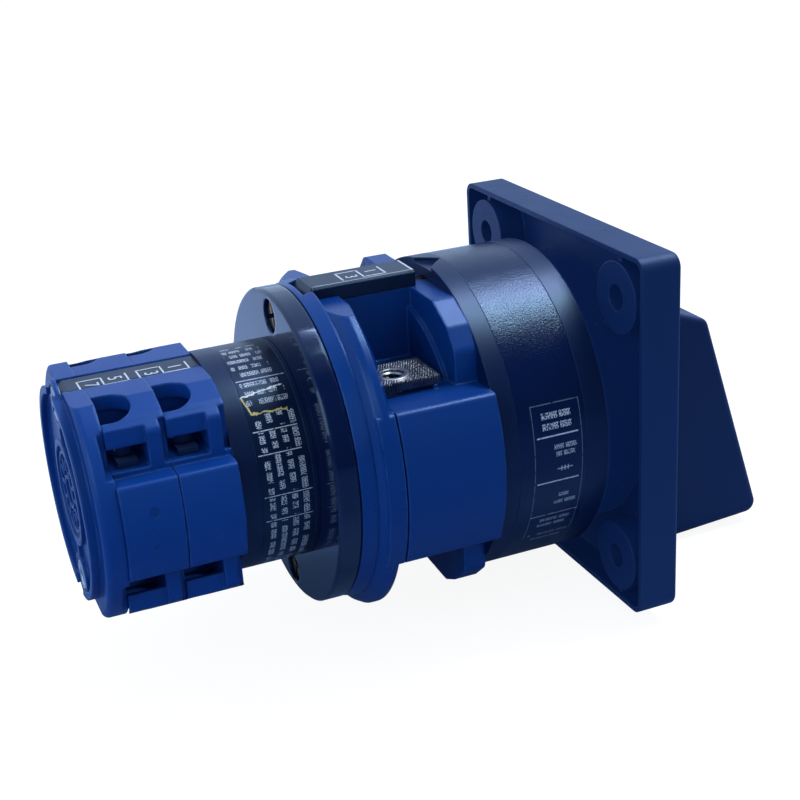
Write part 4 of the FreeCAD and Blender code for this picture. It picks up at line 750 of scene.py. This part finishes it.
class Form:
    """A mesh under construction, in millimetres."""

    def __init__(self) -> None:
        """Start empty."""
        self.mesh = bmesh.new()

    @classmethod
    def lathe(cls, profile: list[Pair], closed: bool = False, steps: int = 40) -> "Form":
        """Turn a profile about Z.

        Args:
            profile: Points as radius and height.
            closed: Whether the last point joins the first.
            steps: Steps round the turn.

        Returns:
            The form.
        """
        form = cls()
        points = [form.mesh.verts.new((radius, 0.0, height)) for radius, height in profile]
        ends = points[1:] + points[:1] if closed else points[1:]
        lines = [form.mesh.edges.new(pair) for pair in zip(points, ends)]
        bmesh.ops.spin(form.mesh, geom=points + lines, cent=(0, 0, 0), axis=(0, 0, 1), angle=FULL_TURN,
                       steps=steps, use_merge=True)
        return form.healed()

    @classmethod
    def coil(cls, radius: float, wire: float, sections: list[Pair], steps: int = 20) -> "Form":
        """Wind a round wire about Z.

        Args:
            radius: Radius of the wire's middle line.
            wire: Radius of the wire.
            sections: Turns and pitch of each stretch, one after another.
            steps: Steps for one turn.

        Returns:
            The form.
        """
        form = cls()
        bmesh.ops.create_circle(form.mesh, cap_ends=False, radius=wire, segments=8,
                                matrix=put((radius, 0.0, 0.0), FRONT))
        return form.wound(sections, steps)

    @classmethod
    def ridge(cls, crest: float, root: float, pitch: float, turns: float, steps: int = 24) -> "Form":
        """Thread ridge about Z that rises from height 0.

        Args:
            crest: Radius of the ridge's edge; below the root's for a ridge that points inwards.
            root: Radius of its foot.
            pitch: Pitch of the thread.
            turns: Number of turns.
            steps: Steps for one turn.

        Returns:
            The form.
        """
        form = cls()
        half = THREAD_HALF_WIDTH * pitch
        corners = ((root, 0.0, -half), (crest, 0.0, 0.0), (root, 0.0, half))
        points = [form.mesh.verts.new(corner) for corner in corners]
        for pair in zip(points, points[1:] + points[:1]):
            form.mesh.edges.new(pair)
        return form.wound([(turns, pitch)], steps)

    @classmethod
    def box(cls, low: Triple, high: Triple) -> "Form":
        """Box between two corners.

        Args:
            low: The lowest corner.
            high: The highest corner.

        Returns:
            The form.
        """
        form = cls()
        middle = Vector([(first + last) / 2 for first, last in zip(low, high)])
        lengths = Vector([last - first for first, last in zip(low, high)])
        bmesh.ops.create_cube(form.mesh, size=1.0, matrix=Matrix.LocRotScale(middle, None, lengths))
        return form

    @classmethod
    def digits(cls, text: str, height: float, thickness: float = INK) -> "Form":
        """Plain digits, centred and upright in the XY plane.

        Args:
            text: The digits.
            height: Their height.
            thickness: Thickness of the ink.

        Returns:
            The form.
        """
        form = cls()
        curve = bpy.data.curves.new("digits", "FONT")
        curve.body = text
        curve.size = height / 0.7
        curve.align_x = "CENTER"
        curve.align_y = "CENTER"
        curve.resolution_u = 3
        curve.extrude = thickness / 2
        carrier = bpy.data.objects.new("digits", curve)
        mesh = bpy.data.meshes.new_from_object(carrier)
        form.mesh.from_mesh(mesh)
        bpy.data.objects.remove(carrier)
        bpy.data.curves.remove(curve)
        bpy.data.meshes.remove(mesh)
        return form

    def wound(self, sections: list[Pair], steps: int) -> "Form":
        """Spin the present outline about Z while it rises, and close its ends.

        Args:
            sections: Turns and pitch of each stretch, one after another.
            steps: Steps for one turn.

        Returns:
            This form.
        """
        last = self.mesh.verts[:] + self.mesh.edges[:]
        for turns, pitch in sections:
            count = max(1, round(turns * steps))
            made = bmesh.ops.spin(self.mesh, geom=last, cent=(0, 0, 0), axis=(0, 0, 1),
                                  dvec=(0, 0, pitch / steps), angle=FULL_TURN * turns, steps=count,
                                  use_merge=False)
            last = made["geom_last"]
        return self.capped()

    def healed(self) -> "Form":
        """Merge doubled points and turn all faces outwards.

        Returns:
            This form.
        """
        bmesh.ops.remove_doubles(self.mesh, verts=self.mesh.verts[:], dist=DOUBLES)
        bmesh.ops.recalc_face_normals(self.mesh, faces=self.mesh.faces[:])
        return self

    def capped(self) -> "Form":
        """Close every open loop.

        Returns:
            This form.
        """
        rims = [edge for edge in self.mesh.edges if edge.is_boundary]
        bmesh.ops.holes_fill(self.mesh, edges=rims, sides=0)
        return self.healed()

    def cut(self, place: Triple, normal: Triple) -> "Form":
        """Cut away what lies on one side of a plane, and close the cut.

        Args:
            place: A point of the plane.
            normal: Its normal, towards what goes.

        Returns:
            This form.
        """
        everything = self.mesh.verts[:] + self.mesh.edges[:] + self.mesh.faces[:]
        bmesh.ops.bisect_plane(self.mesh, geom=everything, dist=0.0001, plane_co=place, plane_no=normal,
                               clear_outer=True)
        return self.capped()

    def bevelled(self, width: float, sharpest: float = 32.0) -> "Form":
        """Bevel the sharp edges.

        Args:
            width: Width of the bevel.
            sharpest: Angle in degrees above which an edge is sharp.

        Returns:
            This form.
        """
        sharp = [edge for edge in self.mesh.edges
                 if len(edge.link_faces) == 2 and edge.calc_face_angle() > math.radians(sharpest)]
        bmesh.ops.bevel(self.mesh, geom=sharp, offset=width, offset_type="OFFSET", segments=2, profile=0.5,
                        affect="EDGES", material=-1, clamp_overlap=True)
        return self

    def join(self, other: "Form", place: Matrix = UP) -> "Form":
        """Add a copy of another form.

        Args:
            other: The form.
            place: Matrix that moves the copy.

        Returns:
            This form.
        """
        carrier = bpy.data.meshes.new("carrier")
        other.mesh.to_mesh(carrier)
        carrier.transform(place)
        self.mesh.from_mesh(carrier)
        bpy.data.meshes.remove(carrier)
        return self


class Drive(Enum):
    """Shape of the recess in a screw's head, as the number of parts it leaves."""

    SLOT = 2
    CROSS = 4


@dataclass(frozen=True)
class ScrewShape:
    """A screw with a cheese head above height 0 and a threaded shank below it."""

    head_radius: float
    head_height: float
    shank_radius: float
    shank_length: float
    drive: Drive = Drive.SLOT
    slot_width: float = 0.8
    slot_depth: float = 0.9
    pitch: float = 0.7
    thread_length: float = 0.0
    neck: float = 0.8
    tip: float = 0.3
    thread_start: float = 0.4
    run_out: float = 0.2
    lip: float = 0.15
    crown: float = 0.22
    soft_edge: float = 0.06

    def form(self) -> Form:
        """Build the screw.

        Returns:
            The form.
        """
        core = self.shank_radius - THREAD_DEPTH * self.pitch
        thread = self.thread_length or self.shank_length - self.neck
        start = -self.shank_length
        end = start + thread + self.thread_start
        floor = self.head_height - self.slot_depth
        form = Form.lathe([(0.0, start), (core - self.tip, start), (core, start + self.tip), (core, end),
                           (self.shank_radius, end + self.run_out), (self.shank_radius, 0.0),
                           (self.head_radius - self.lip, 0.0), (self.head_radius, self.lip),
                           (self.head_radius, floor), (0.0, floor)])
        turns = (thread - self.tip) / self.pitch
        ridge = Form.ridge(self.shank_radius, core - THREAD_SINK, self.pitch, turns)
        form.join(ridge, put((0.0, 0.0, start + self.thread_start)))
        part = self.head_part(floor)
        for number in range(self.drive.value):
            form.join(part, spun(FULL_TURN * number / self.drive.value))
        return form

    def head_part(self, floor: float) -> Form:
        """Part of the head between two slots.

        Args:
            floor: Height of the slots' floor.

        Returns:
            The form.
        """
        radius, top = self.head_radius, self.head_height
        part = Form.lathe([(0.0, floor), (radius, floor), (radius, top - self.crown),
                           (radius - self.crown * 0.4, top - self.crown * 0.35), (radius - self.crown, top),
                           (0.0, top)])
        part.cut((0.0, self.slot_width / 2, 0.0), (0, -1, 0))
        if self.drive is Drive.CROSS:
            part.cut((self.slot_width / 2, 0.0, 0.0), (-1, 0, 0))
        return part.bevelled(self.soft_edge)


@dataclass(frozen=True)
class SpringShape:
    """Compression spring between two distances from the axis, with a closed stretch at each end."""

    low: float
    high: float
    radius: float
    wire_radius: float = 0.3
    open_turns: float = 3.0
    closed_turns: float = 0.9
    closed_pitch: float = 2.05

    def laid(self, *places: float) -> Form:
        """Springs laid along X on both sides of the axis.

        Args:
            places: Places along the axis that have such a pair.

        Returns:
            The form.
        """
        rise = self.high - self.low - 2 * self.wire_radius
        flat = self.closed_pitch * self.wire_radius
        end = (self.closed_turns, flat)
        middle = (self.open_turns, (rise - 2 * self.closed_turns * flat) / self.open_turns)
        coil = Form.coil(self.radius - self.wire_radius, self.wire_radius, [end, middle, end])
        form = Form()
        for place in places:
            for side in SIDES.values():
                start = side * (self.low + self.wire_radius)
                form.join(coil, put((start, place, 0.0), outwards(side)))
        return form


@dataclass(frozen=True)
class StripPrint:
    """Printed outlines and numbers on a flat marking strip."""

    height: float
    line: float = 0.28

    def bar(self, left: float, right: float, front: float, back: float) -> Form:
        """Printed bar between two places across the strip and two along it."""
        return Form.box((left, front, self.height - INK / 2), (right, back, self.height + INK / 2))

    def pair(self, far: float, near: float, ends: Triple, numbers: tuple[str, str], height: float) -> Form:
        """Two fields side by side whose outlines step from one edge to the other.

        Args:
            far: Place of the far line across the strip.
            near: Place of the near line.
            ends: Rear end of the first field, line between the fields, and front end of the second.
            numbers: Numbers in the two fields.
            height: Height of the numbers.

        Returns:
            The form.
        """
        rear, middle, front = ends
        half = self.line / 2
        form = Form()
        for place in ends:
            form.join(self.bar(near - half, far + half, place - half, place + half))
        form.join(self.bar(far - half, far + half, middle, rear))
        form.join(self.bar(near - half, near + half, front, middle))
        for text, place, share in zip(numbers, ((rear + middle) / 2, (middle + front) / 2), (0.30, 0.62)):
            centre = (near + (far - near) * share, place, self.height)
            form.join(Form.digits(text, height), put(centre, spun(math.pi)))
        return form


# Sub-assemblies

@dataclass
class SubAssembly:
    """Steps that all the sub-assemblies share."""

    finishes: Finishes

    def paint(self, finish: str, *names: str) -> None:
        """Give nodes of the part a finish.

        Args:
            finish: The finish's name.
            names: The nodes' names.
        """
        for name in names:
            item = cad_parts[name]
            item.data.materials.clear()
            item.data.materials.append(self.finishes[finish])
            LOG.info("dressed %s as %s", name, finish)

    def publish(self, form: Form, name: str, slot: str, finish: str, *stands_for: str,
                body: str = "base") -> None:
        """Make a finished piece of a form.

        Args:
            form: The form, in millimetres of the part's frame.
            name: The piece's name.
            slot: The record's material slot for the piece; not used.
            finish: The finish's name.
            stands_for: The nodes of the part that the piece replaces.
            body: The body that it rides.
        """
        mesh = bpy.data.meshes.new(name)
        form.mesh.to_mesh(mesh)
        form.mesh.free()
        mesh.transform(Matrix.Scale(MM, 4))
        mesh.shade_smooth()
        mesh.set_sharp_from_angle(angle=math.radians(35))
        mesh.materials.append(self.finishes[finish])
        item = bpy.data.objects.new(name, mesh)
        bpy.context.scene.collection.objects.link(item)
        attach(item, body)
        if stands_for:
            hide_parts(*stands_for)
        LOG.info("built %s with %d faces", name, len(mesh.polygons))


@dataclass
class FrontUnit(SubAssembly):
    """Front plate, handle and shaft with their screws, and the print of the positions."""

    plate_screw_places: Pair = (-15.0, 15.0)
    plate_screw: ScrewShape = ScrewShape(2.9, 0.7, 1.45, 6.3, slot_width=0.6, slot_depth=0.35, pitch=0.6)
    plate_screw_under: float = -5.9
    handle_screw: ScrewShape = ScrewShape(3.5, 2.4, 1.9, 12.0, slot_width=0.95, slot_depth=1.2)
    handle_screw_under: float = -17.5
    plate_front: float = -7.4
    number_reach: float = 26.3
    number_height: float = 4.6
    pointer_middle: Triple = (0.0, -20.0, 13.205)
    pointer_slope: float = 0.3657
    pointer_length: float = 14.0
    pointer_width: float = 1.0
    ink: float = 0.05

    def build(self) -> None:
        """Dress the nodes and build the screws."""
        self.paint("plate_moulding", "front_plate")
        self.paint("handle_moulding", "handle")
        self.paint("shaft_steel", "shaft")
        screws = Form()
        for place in self.plate_screw_places:
            screws.join(self.plate_screw.form(), put((0.0, self.plate_screw_under, place), FRONT))
        self.publish(screws, "plate_fixing_screws", "plated_steel", "plated_steel", "plate_screws")
        screw = Form().join(self.handle_screw.form(), put((0.0, self.handle_screw_under, 0.0), FRONT))
        self.publish(screw, "handle_fixing_screw", "plated_steel", "plated_steel", "handle_screw",
                     body="rotor")
        self.positions()

    def positions(self) -> None:
        """Plain numbers of the two positions on the plate, and the pointer line on the handle."""
        numbers = Form()
        for text, across, up in (("0", 0.0, self.number_reach), ("1", self.number_reach, 0.0)):
            digit = Form.digits(text, self.number_height, self.ink)
            numbers.join(digit, put((across, self.plate_front, up), FRONT))
        self.publish(numbers, "position_numbers", "label_film", "print_ink")
        half, length, thick = self.pointer_width / 2, self.pointer_length / 2, self.ink / 2
        pointer = Form().join(Form.box((-half, -length, -thick), (half, length, thick)),
                              put(self.pointer_middle, Matrix.Rotation(self.pointer_slope, 4, "X")))
        self.publish(pointer, "handle_pointer_line", "label_film", "print_ink", body="rotor")


@dataclass
class LatchUnit(SubAssembly):
    """Latch housing with its star wheel, sliders, rollers and springs, and its label."""

    spring: SpringShape = SpringShape(20.35, 25.4, 2.6)
    spring_place: float = 16.5

    def build(self) -> None:
        """Dress the nodes and wind the springs."""
        self.paint("latch_moulding", "latch_housing")
        self.paint("latch_label", "latch_label")
        self.paint("insulating_moulding", "star_wheel")
        for side in SIDES:
            self.paint("insulating_moulding", f"detent_slider_{side}")
            self.paint("plated_steel", f"detent_roller_{side}")
        springs = self.spring.laid(self.spring_place)
        self.publish(springs, "detent_coils", "spring_steel", "spring_steel", "detent_springs")


@dataclass
class MainStage(SubAssembly):
    """Large contact stage with its terminals, long screws and marking strip."""

    terminal_across: float = 16.2
    terminal_along: float = 37.2
    plate_top: float = 15.55
    plate_bottom: float = 13.95
    washer_half: float = 3.5
    washer_height: float = 1.1
    washer_bevel: float = 0.25
    washer_shift: float = 0.1
    terminal_screw: ScrewShape = ScrewShape(3.3, 2.6, 1.95, 3.3, slot_depth=1.3)
    terminal_slot_turn: float = 0.5
    thread_outer: float = 2.02
    thread_inner: float = 1.72
    thread_turns: float = 1.7
    thread_rise: float = 0.3
    rim_radius: float = 2.75
    rim_height: float = 0.16
    rim_foot: float = 0.1
    tie_place: float = 23.6
    tie_under: float = 49.4
    tie_slot_turn: float = 0.35
    tie_bolt: ScrewShape = ScrewShape(2.7, 2.2, 1.9, 45.2, Drive.CROSS, 0.7, 1.1, thread_length=9.0)
    spring: SpringShape = SpringShape(20.6, 26.0, 2.8)
    spring_place: float = 33.2
    strip_top: float = 28.2

    def build(self) -> None:
        """Dress the nodes and build the small pieces."""
        self.paint("main_blue_moulding", "main_stage_housing")
        self.paint("cover_blue_moulding", "main_stage_cover", "main_end_ring")
        self.paint("strip_moulding", "main_marking_strip")
        self.paint("insulating_moulding", "main_cam")
        self.paint("gloss_moulding", "adapter_disc")
        for side in SIDES:
            self.paint("insulating_moulding", f"main_plunger_{side}")
            self.paint("contact_bar", f"main_bridge_{side}")
            for level in LEVELS:
                self.paint("contact_metal", f"main_contact_{side}_{level}")
        self.terminal_screws()
        self.terminal_threads()
        springs = self.spring.laid(self.spring_place)
        self.publish(springs, "main_contact_coils", "spring_steel", "spring_steel", "main_contact_springs")
        self.tie_bolts()
        self.print_strip()

    def terminal_screws(self) -> None:
        """Clamping screws with square washers on the far terminals."""
        form = Form()
        half, top = self.washer_half, self.washer_height
        washer = Form.box((-half, -half, 0.0), (half, half, top)).bevelled(self.washer_bevel)
        for level, turn in ((1, UP), (-1, DOWN)):
            place = (self.terminal_across, self.terminal_along - self.washer_shift, level * self.plate_top)
            form.join(washer, put(place, turn))
            place = (self.terminal_across, self.terminal_along, level * (self.plate_top + top))
            form.join(self.terminal_screw.form(), put(place, turn @ spun(self.terminal_slot_turn)))
        self.publish(form, "main_clamping_screws", "plated_steel", "plated_steel", "main_terminal_screws")

    def terminal_threads(self) -> None:
        """Thread ridges and raised rims of the open holes in the near terminals."""
        form = Form()
        inner, outer, rise, foot = self.thread_outer, self.rim_radius, self.rim_height, self.rim_foot
        rim = Form.lathe([(inner, -foot), (outer + 0.15, -foot), (outer, rise * 0.6), (outer - 0.25, rise),
                          (inner + 0.25, rise * 0.9), (inner, foot)], closed=True)
        ridge = Form.ridge(self.thread_inner, self.thread_outer, self.terminal_screw.pitch, self.thread_turns)
        for level, turn in ((1, UP), (-1, DOWN)):
            start = level * (self.plate_bottom + self.thread_rise)
            form.join(ridge, put((-self.terminal_across, self.terminal_along, start), turn))
            form.join(rim, put((-self.terminal_across, self.terminal_along, level * self.plate_top), turn))
        self.publish(form, "terminal_threads", "contact_metal", "plated_steel")

    def tie_bolts(self) -> None:
        """Long screws with crossed slots, sunk in the adapter disc."""
        form = Form()
        for level in LEVELS.values():
            turn = BACK @ spun(self.tie_slot_turn * level)
            form.join(self.tie_bolt.form(), put((0.0, self.tie_under, level * self.tie_place), turn))
        self.publish(form, "long_tie_screws", "yellow_plated_steel", "yellow_plated_steel", "main_tie_bolts")

    def print_strip(self) -> None:
        """Stepped outlines with plain numbers on the marking strip, and two lines along its edges."""
        printer = StripPrint(self.strip_top)
        form = printer.pair(1.75, -2.25, (39.5, 35.75, 31.8), ("3", "1"), 2.1)
        form.join(printer.bar(-3.2, 3.2, 27.15, 27.45))
        form.join(printer.bar(-3.1, -2.95, 27.6, 45.2))
        self.publish(form, "main_strip_print", "label_film", "print_ink")


@dataclass
class RearStages(SubAssembly):
    """Collar, small contact stages and end cap."""

    stage_middles: Pair = (72.0, 81.6)
    screw_across: float = 11.3
    screw_under: float = 10.15
    screw_side_turn: float = 0.6
    terminal_screw: ScrewShape = ScrewShape(2.3, 1.8, 1.4, 1.0, slot_width=0.6, slot_depth=0.8, pitch=0.5,
                                            thread_length=0.5)
    spring: SpringShape = SpringShape(17.8, 20.2, 1.9, 0.2, 2.0, 0.8)
    stud_place: float = 15.7
    stud_start: float = 50.1
    stud_end: float = 88.8
    stud_radius: float = 1.45
    stud_core: float = 1.29
    stud_pitch: float = 0.5
    stud_thread: float = 7.0
    stud_turns: float = 12.0
    stud_run_out: float = 0.2
    stud_thread_start: float = 0.4
    stud_tip: float = 0.3
    nut_seat: float = 88.2
    nut_radius: float = 3.0
    nut_height: float = 1.0
    nut_clearance: float = 0.03
    nut_lip: float = 0.15
    nut_edge: float = 0.2
    nut_bevel: float = 0.06
    nut_slot_depth: float = 0.45
    nut_slot_half: float = 0.45
    nut_turn: float = 0.7
    strip_top: float = 18.4
    relief_floor: float = 88.7
    relief_height: float = 0.35
    relief_rings: tuple[Pair, Pair] = ((2.3, 3.0), (6.4, 7.1))
    rib_reach: Pair = (3.6, 5.9)
    rib_half: float = 0.35
    rib_bevel: float = 0.12
    rib_count: int = 12

    def build(self) -> None:
        """Dress the nodes and build the small pieces."""
        self.paint("collar_moulding", "rear_collar")
        self.paint("rear_label", "rear_label")
        self.paint("rear_blue_moulding", "rear_stage_front", "rear_stage_rear", "rear_end_cap")
        self.paint("strip_moulding", "rear_marking_strip")
        for stage in ("front", "rear"):
            self.paint("insulating_moulding", f"rear_cam_{stage}")
            for side in SIDES:
                self.paint("insulating_moulding", f"rear_plunger_{stage}_{side}")
                self.paint("contact_bar", f"rear_bridge_{stage}_{side}")
                for level in LEVELS:
                    self.paint("shaded_metal", f"rear_contact_{stage}_{side}_{level}")
        self.terminal_screws()
        springs = self.spring.laid(*self.stage_middles)
        self.publish(springs, "rear_contact_coils", "spring_steel", "spring_steel", "rear_contact_springs")
        self.studs()
        self.nuts()
        self.relief()
        self.print_strip()

    def terminal_screws(self) -> None:
        """Terminal screws of both small stages, their slots turned at random angles."""
        form = Form()
        screw = self.terminal_screw.form()
        for middle in self.stage_middles:
            for side in SIDES.values():
                for level, turn in ((1, UP), (-1, DOWN)):
                    place = (side * self.screw_across, middle, level * self.screw_under)
                    form.join(screw, put(place, turn @ spun(self.screw_side_turn * side + middle)))
        self.publish(form, "rear_clamping_screws", "plated_steel", "shaded_metal", "rear_terminal_screws")

    def studs(self) -> None:
        """Studs from the adapter disc to the end cap, threaded at their rear ends."""
        form = Form()
        core, tip, length = self.stud_core, self.stud_tip, self.stud_end - self.stud_start
        start = length - self.stud_thread
        stud = Form.lathe([(0.0, 0.0), (self.stud_radius, 0.0), (self.stud_radius, start),
                           (core, start + self.stud_run_out), (core, length - tip), (core - tip, length),
                           (0.0, length)])
        ridge = Form.ridge(self.stud_radius, core - THREAD_SINK, self.stud_pitch, self.stud_turns)
        stud.join(ridge, put((0.0, 0.0, start + self.stud_thread_start)))
        for level in LEVELS.values():
            form.join(stud, put((0.0, self.stud_start, level * self.stud_place), BACK))
        self.publish(form, "rear_stud_rods", "plated_steel", "dull_steel", "rear_studs")

    def nuts(self) -> None:
        """Round nuts with a slot across their faces, on the ends of the studs."""
        form = Form()
        hole, rim = self.stud_radius + self.nut_clearance, self.nut_radius
        top, lip, edge = self.nut_height, self.nut_lip, self.nut_edge
        floor = top - self.nut_slot_depth
        base = Form.lathe([(hole, 0.0), (rim - lip, 0.0), (rim, lip), (rim, floor), (hole, floor)],
                          closed=True)
        segment = Form.lathe([(hole, floor), (rim, floor), (rim, top - edge), (rim - edge, top),
                              (hole + edge, top), (hole, top - edge)], closed=True)
        segment.cut((0.0, self.nut_slot_half, 0.0), (0, -1, 0)).bevelled(self.nut_bevel)
        for level in LEVELS.values():
            place = (0.0, self.nut_seat, level * self.stud_place)
            for turn in (0.0, math.pi):
                form.join(segment, put(place, BACK @ spun(turn + self.nut_turn * level)))
            form.join(base, put(place, BACK))
        self.publish(form, "rear_ring_nuts", "plated_steel", "dull_steel", "rear_nuts")

    def relief(self) -> None:
        """Plain moulded relief in the well of the end cap: two rings and short ribs."""
        form = Form()
        place, top, draft = (0.0, self.relief_floor, 0.0), self.relief_height, self.rib_bevel
        for inner, outer in self.relief_rings:
            ring = Form.lathe([(inner, 0.0), (outer, 0.0), (outer - draft, top), (inner + draft, top)],
                              closed=True)
            form.join(ring, put(place, BACK))
        start, end = self.rib_reach
        rib = Form.box((start, -self.rib_half, 0.0), (end, self.rib_half, top)).bevelled(self.rib_bevel)
        for number in range(self.rib_count):
            form.join(rib, put(place, BACK @ spun(FULL_TURN * number / self.rib_count)))
        self.publish(form, "cap_relief", "blue_moulding", "rear_blue_moulding")

    def print_strip(self) -> None:
        """Stepped outlines with plain numbers on the marking strip."""
        printer = StripPrint(self.strip_top)
        form = printer.pair(0.45, -2.95, (85.2, 81.35, 77.35), ("7", "5"), 2.3)
        form.join(printer.pair(0.45, -2.85, (75.5, 71.6, 67.35), ("3", "1"), 2.3))
        self.publish(form, "rear_strip_print", "label_film", "print_ink")


# Surroundings

@dataclass(frozen=True)
class Lamp:
    """Soft rectangular lamp that faces the object, in metres and watts."""

    name: str
    eye: Triple
    width: float
    height: float
    power: float
    colour: Triple
    target: Triple = (0.0, 0.035, 0.0)

    def build(self) -> None:
        """Make the lamp."""
        data = bpy.data.lights.new(self.name, "AREA")
        data.shape = "RECTANGLE"
        data.size = self.width
        data.size_y = self.height
        data.energy = self.power
        data.color = self.colour
        back = (Vector(self.eye) - Vector(self.target)).normalized()
        item = bpy.data.objects.new(self.name, data)
        item.matrix_world = Matrix.Translation(self.eye) @ back.to_track_quat("Z", "Y").to_matrix().to_4x4()
        bpy.context.scene.collection.objects.link(item)


@dataclass(frozen=True)
class Studio:
    """Camera, fitted to the photograph's circles and seams, with surroundings, floor and lamps."""

    eye: Triple = (-218.76, 116.96, 99.80)
    turn: float = 0.37937
    tilt: float = 0.38761
    roll: float = 0.06290
    lens: float = 64.548
    sensor: float = 36.0
    sky: Triple = (0.80, 0.90, 1.0)
    sky_strength: float = 0.70
    dark_shine: Triple = (0.02, 0.035, 0.07)
    bright_shine: Triple = (0.64, 0.84, 1.15)
    paper: Triple = (0.93, 0.93, 0.93)
    paper_cloud: Triple = (0.90, 0.90, 0.91)
    paper_glow: float = 1.13
    glow_share: float = 0.80
    viewer_floor: Triple = (0.11, 0.18, 0.33)
    near_floor: Triple = (0.17, 0.27, 0.46)
    far_floor: Triple = (0.44, 0.57, 0.85)
    floor_half: float = 4.0
    floor_gap: float = 0.2
    lamps: tuple[Lamp, ...] = (
        Lamp("cool_window", (0.07, -0.22, 0.50), 0.17, 0.20, 1.7, (0.74, 0.76, 1.0)),
        Lamp("pale_window", (-0.055, -0.22, 0.51), 0.07, 0.20, 1.1, (0.82, 1.0, 0.98)),
        Lamp("brown_wall", (-0.17, -0.22, 0.48), 0.08, 0.20, 0.16, (1.0, 0.76, 0.56)),
        Lamp("camera_fill", (-0.70, 0.35, 0.45), 0.60, 0.60, 0.5, (0.66, 0.84, 1.0)),
        Lamp("rear_fill", (-0.30, 0.80, 0.35), 0.50, 0.50, 2.6, (0.66, 0.84, 1.0)),
    )

    def build(self) -> None:
        """Make the whole studio."""
        self.camera()
        self.world()
        self.floor()
        for lamp in self.lamps:
            lamp.build()
        bpy.context.scene.view_settings.view_transform = "Standard"

    def camera(self) -> None:
        """Make the camera."""
        data = bpy.data.cameras.new("camera")
        data.sensor_width = self.sensor
        data.lens = self.lens
        data.clip_start = 0.01
        data.clip_end = 20.0
        look = Vector((math.cos(self.turn) * math.cos(self.tilt), -math.sin(self.turn) * math.cos(self.tilt),
                       -math.sin(self.tilt)))
        right = look.cross(Vector((0, 0, 1))).normalized()
        down = look.cross(right)
        right, down = (right * math.cos(self.roll) + down * math.sin(self.roll),
                       down * math.cos(self.roll) - right * math.sin(self.roll))
        item = bpy.data.objects.new("camera", data)
        turn = Matrix((right, -down, -look)).transposed().to_4x4()
        item.matrix_world = Matrix.Translation(Vector(self.eye) * MM) @ turn
        bpy.context.scene.collection.objects.link(item)
        bpy.context.scene.camera = item

    def world(self) -> None:
        """White surroundings for the camera, brighter beyond the object than behind the viewer for gloss."""
        desk = Desk(bpy.data.worlds.new("surroundings"))
        path = desk.add("ShaderNodeLightPath").outputs
        view = desk.add("ShaderNodeTexCoord").outputs["Generated"]
        sky = desk.add("ShaderNodeSeparateXYZ", None, {0: view})
        beyond = (Wire(desk, sky.outputs[0]) + Wire(desk, sky.outputs[2]) * 0.35).ramp(-0.15, 0.65)
        soft = desk.backdrop(clear_colour(self.sky), self.sky_strength)
        gloss = desk.backdrop(desk.blend(beyond, self.dark_shine, self.bright_shine))
        lit = desk.mixed(path["Is Glossy Ray"], soft, gloss)
        seen = desk.mixed(path["Is Camera Ray"], lit, desk.backdrop(clear_colour(WHITE)))
        desk.add("ShaderNodeOutputWorld", None, {"Surface": seen})
        bpy.context.scene.world = desk.owner

    def floor(self) -> None:
        """Plain pale floor under the lowest point of the part, dimmer for all but the camera's rays."""
        desk = Desk(bpy.data.materials.new("floor_paper"))
        tone = desk.blend(desk.noise(60.0, 2.0) * 0.06, self.paper, self.paper_cloud)
        plain = desk.add("ShaderNodeBsdfPrincipled", None,
                         {"Base Color": tone, "Roughness": 0.9, "Specular IOR Level": 0.1})
        glow = desk.add("ShaderNodeEmission", None,
                        {"Color": clear_colour(WHITE), "Strength": self.paper_glow})
        paper = desk.mixed(self.glow_share, plain.outputs[0], glow.outputs[0])
        across = desk.along()[0]
        shade = desk.blend(across.ramp(-85.0, -50.0), self.viewer_floor, self.near_floor)
        shade = desk.blend(across.ramp(20.0, 160.0), shade, self.far_floor)
        dim = desk.add("ShaderNodeBsdfDiffuse", None, {"Color": shade})
        seen = desk.add("ShaderNodeLightPath").outputs["Is Camera Ray"]
        desk.add("ShaderNodeOutputMaterial", None, {"Surface": desk.mixed(seen, dim.outputs[0], paper)})
        shape = bmesh.new()
        level = CAD_LOW.z - self.floor_gap * MM
        bmesh.ops.create_grid(shape, x_segments=1, y_segments=1, size=self.floor_half,
                              matrix=Matrix.Translation((0.0, 0.0, level)))
        mesh = bpy.data.meshes.new("floor")
        shape.to_mesh(mesh)
        shape.free()
        mesh.materials.append(desk.owner)
        item = bpy.data.objects.new("floor", mesh)
        bpy.context.scene.collection.objects.link(item)


def main() -> None:
    """Build the studio and every sub-assembly, in order."""
    logging.basicConfig(level=logging.INFO, format="%(message)s")
    Studio().build()
    finishes = Finishes()
    for kind in (FrontUnit, LatchUnit, MainStage, RearStages):
        kind(finishes).build()


if __name__ == "__main__":
    main()
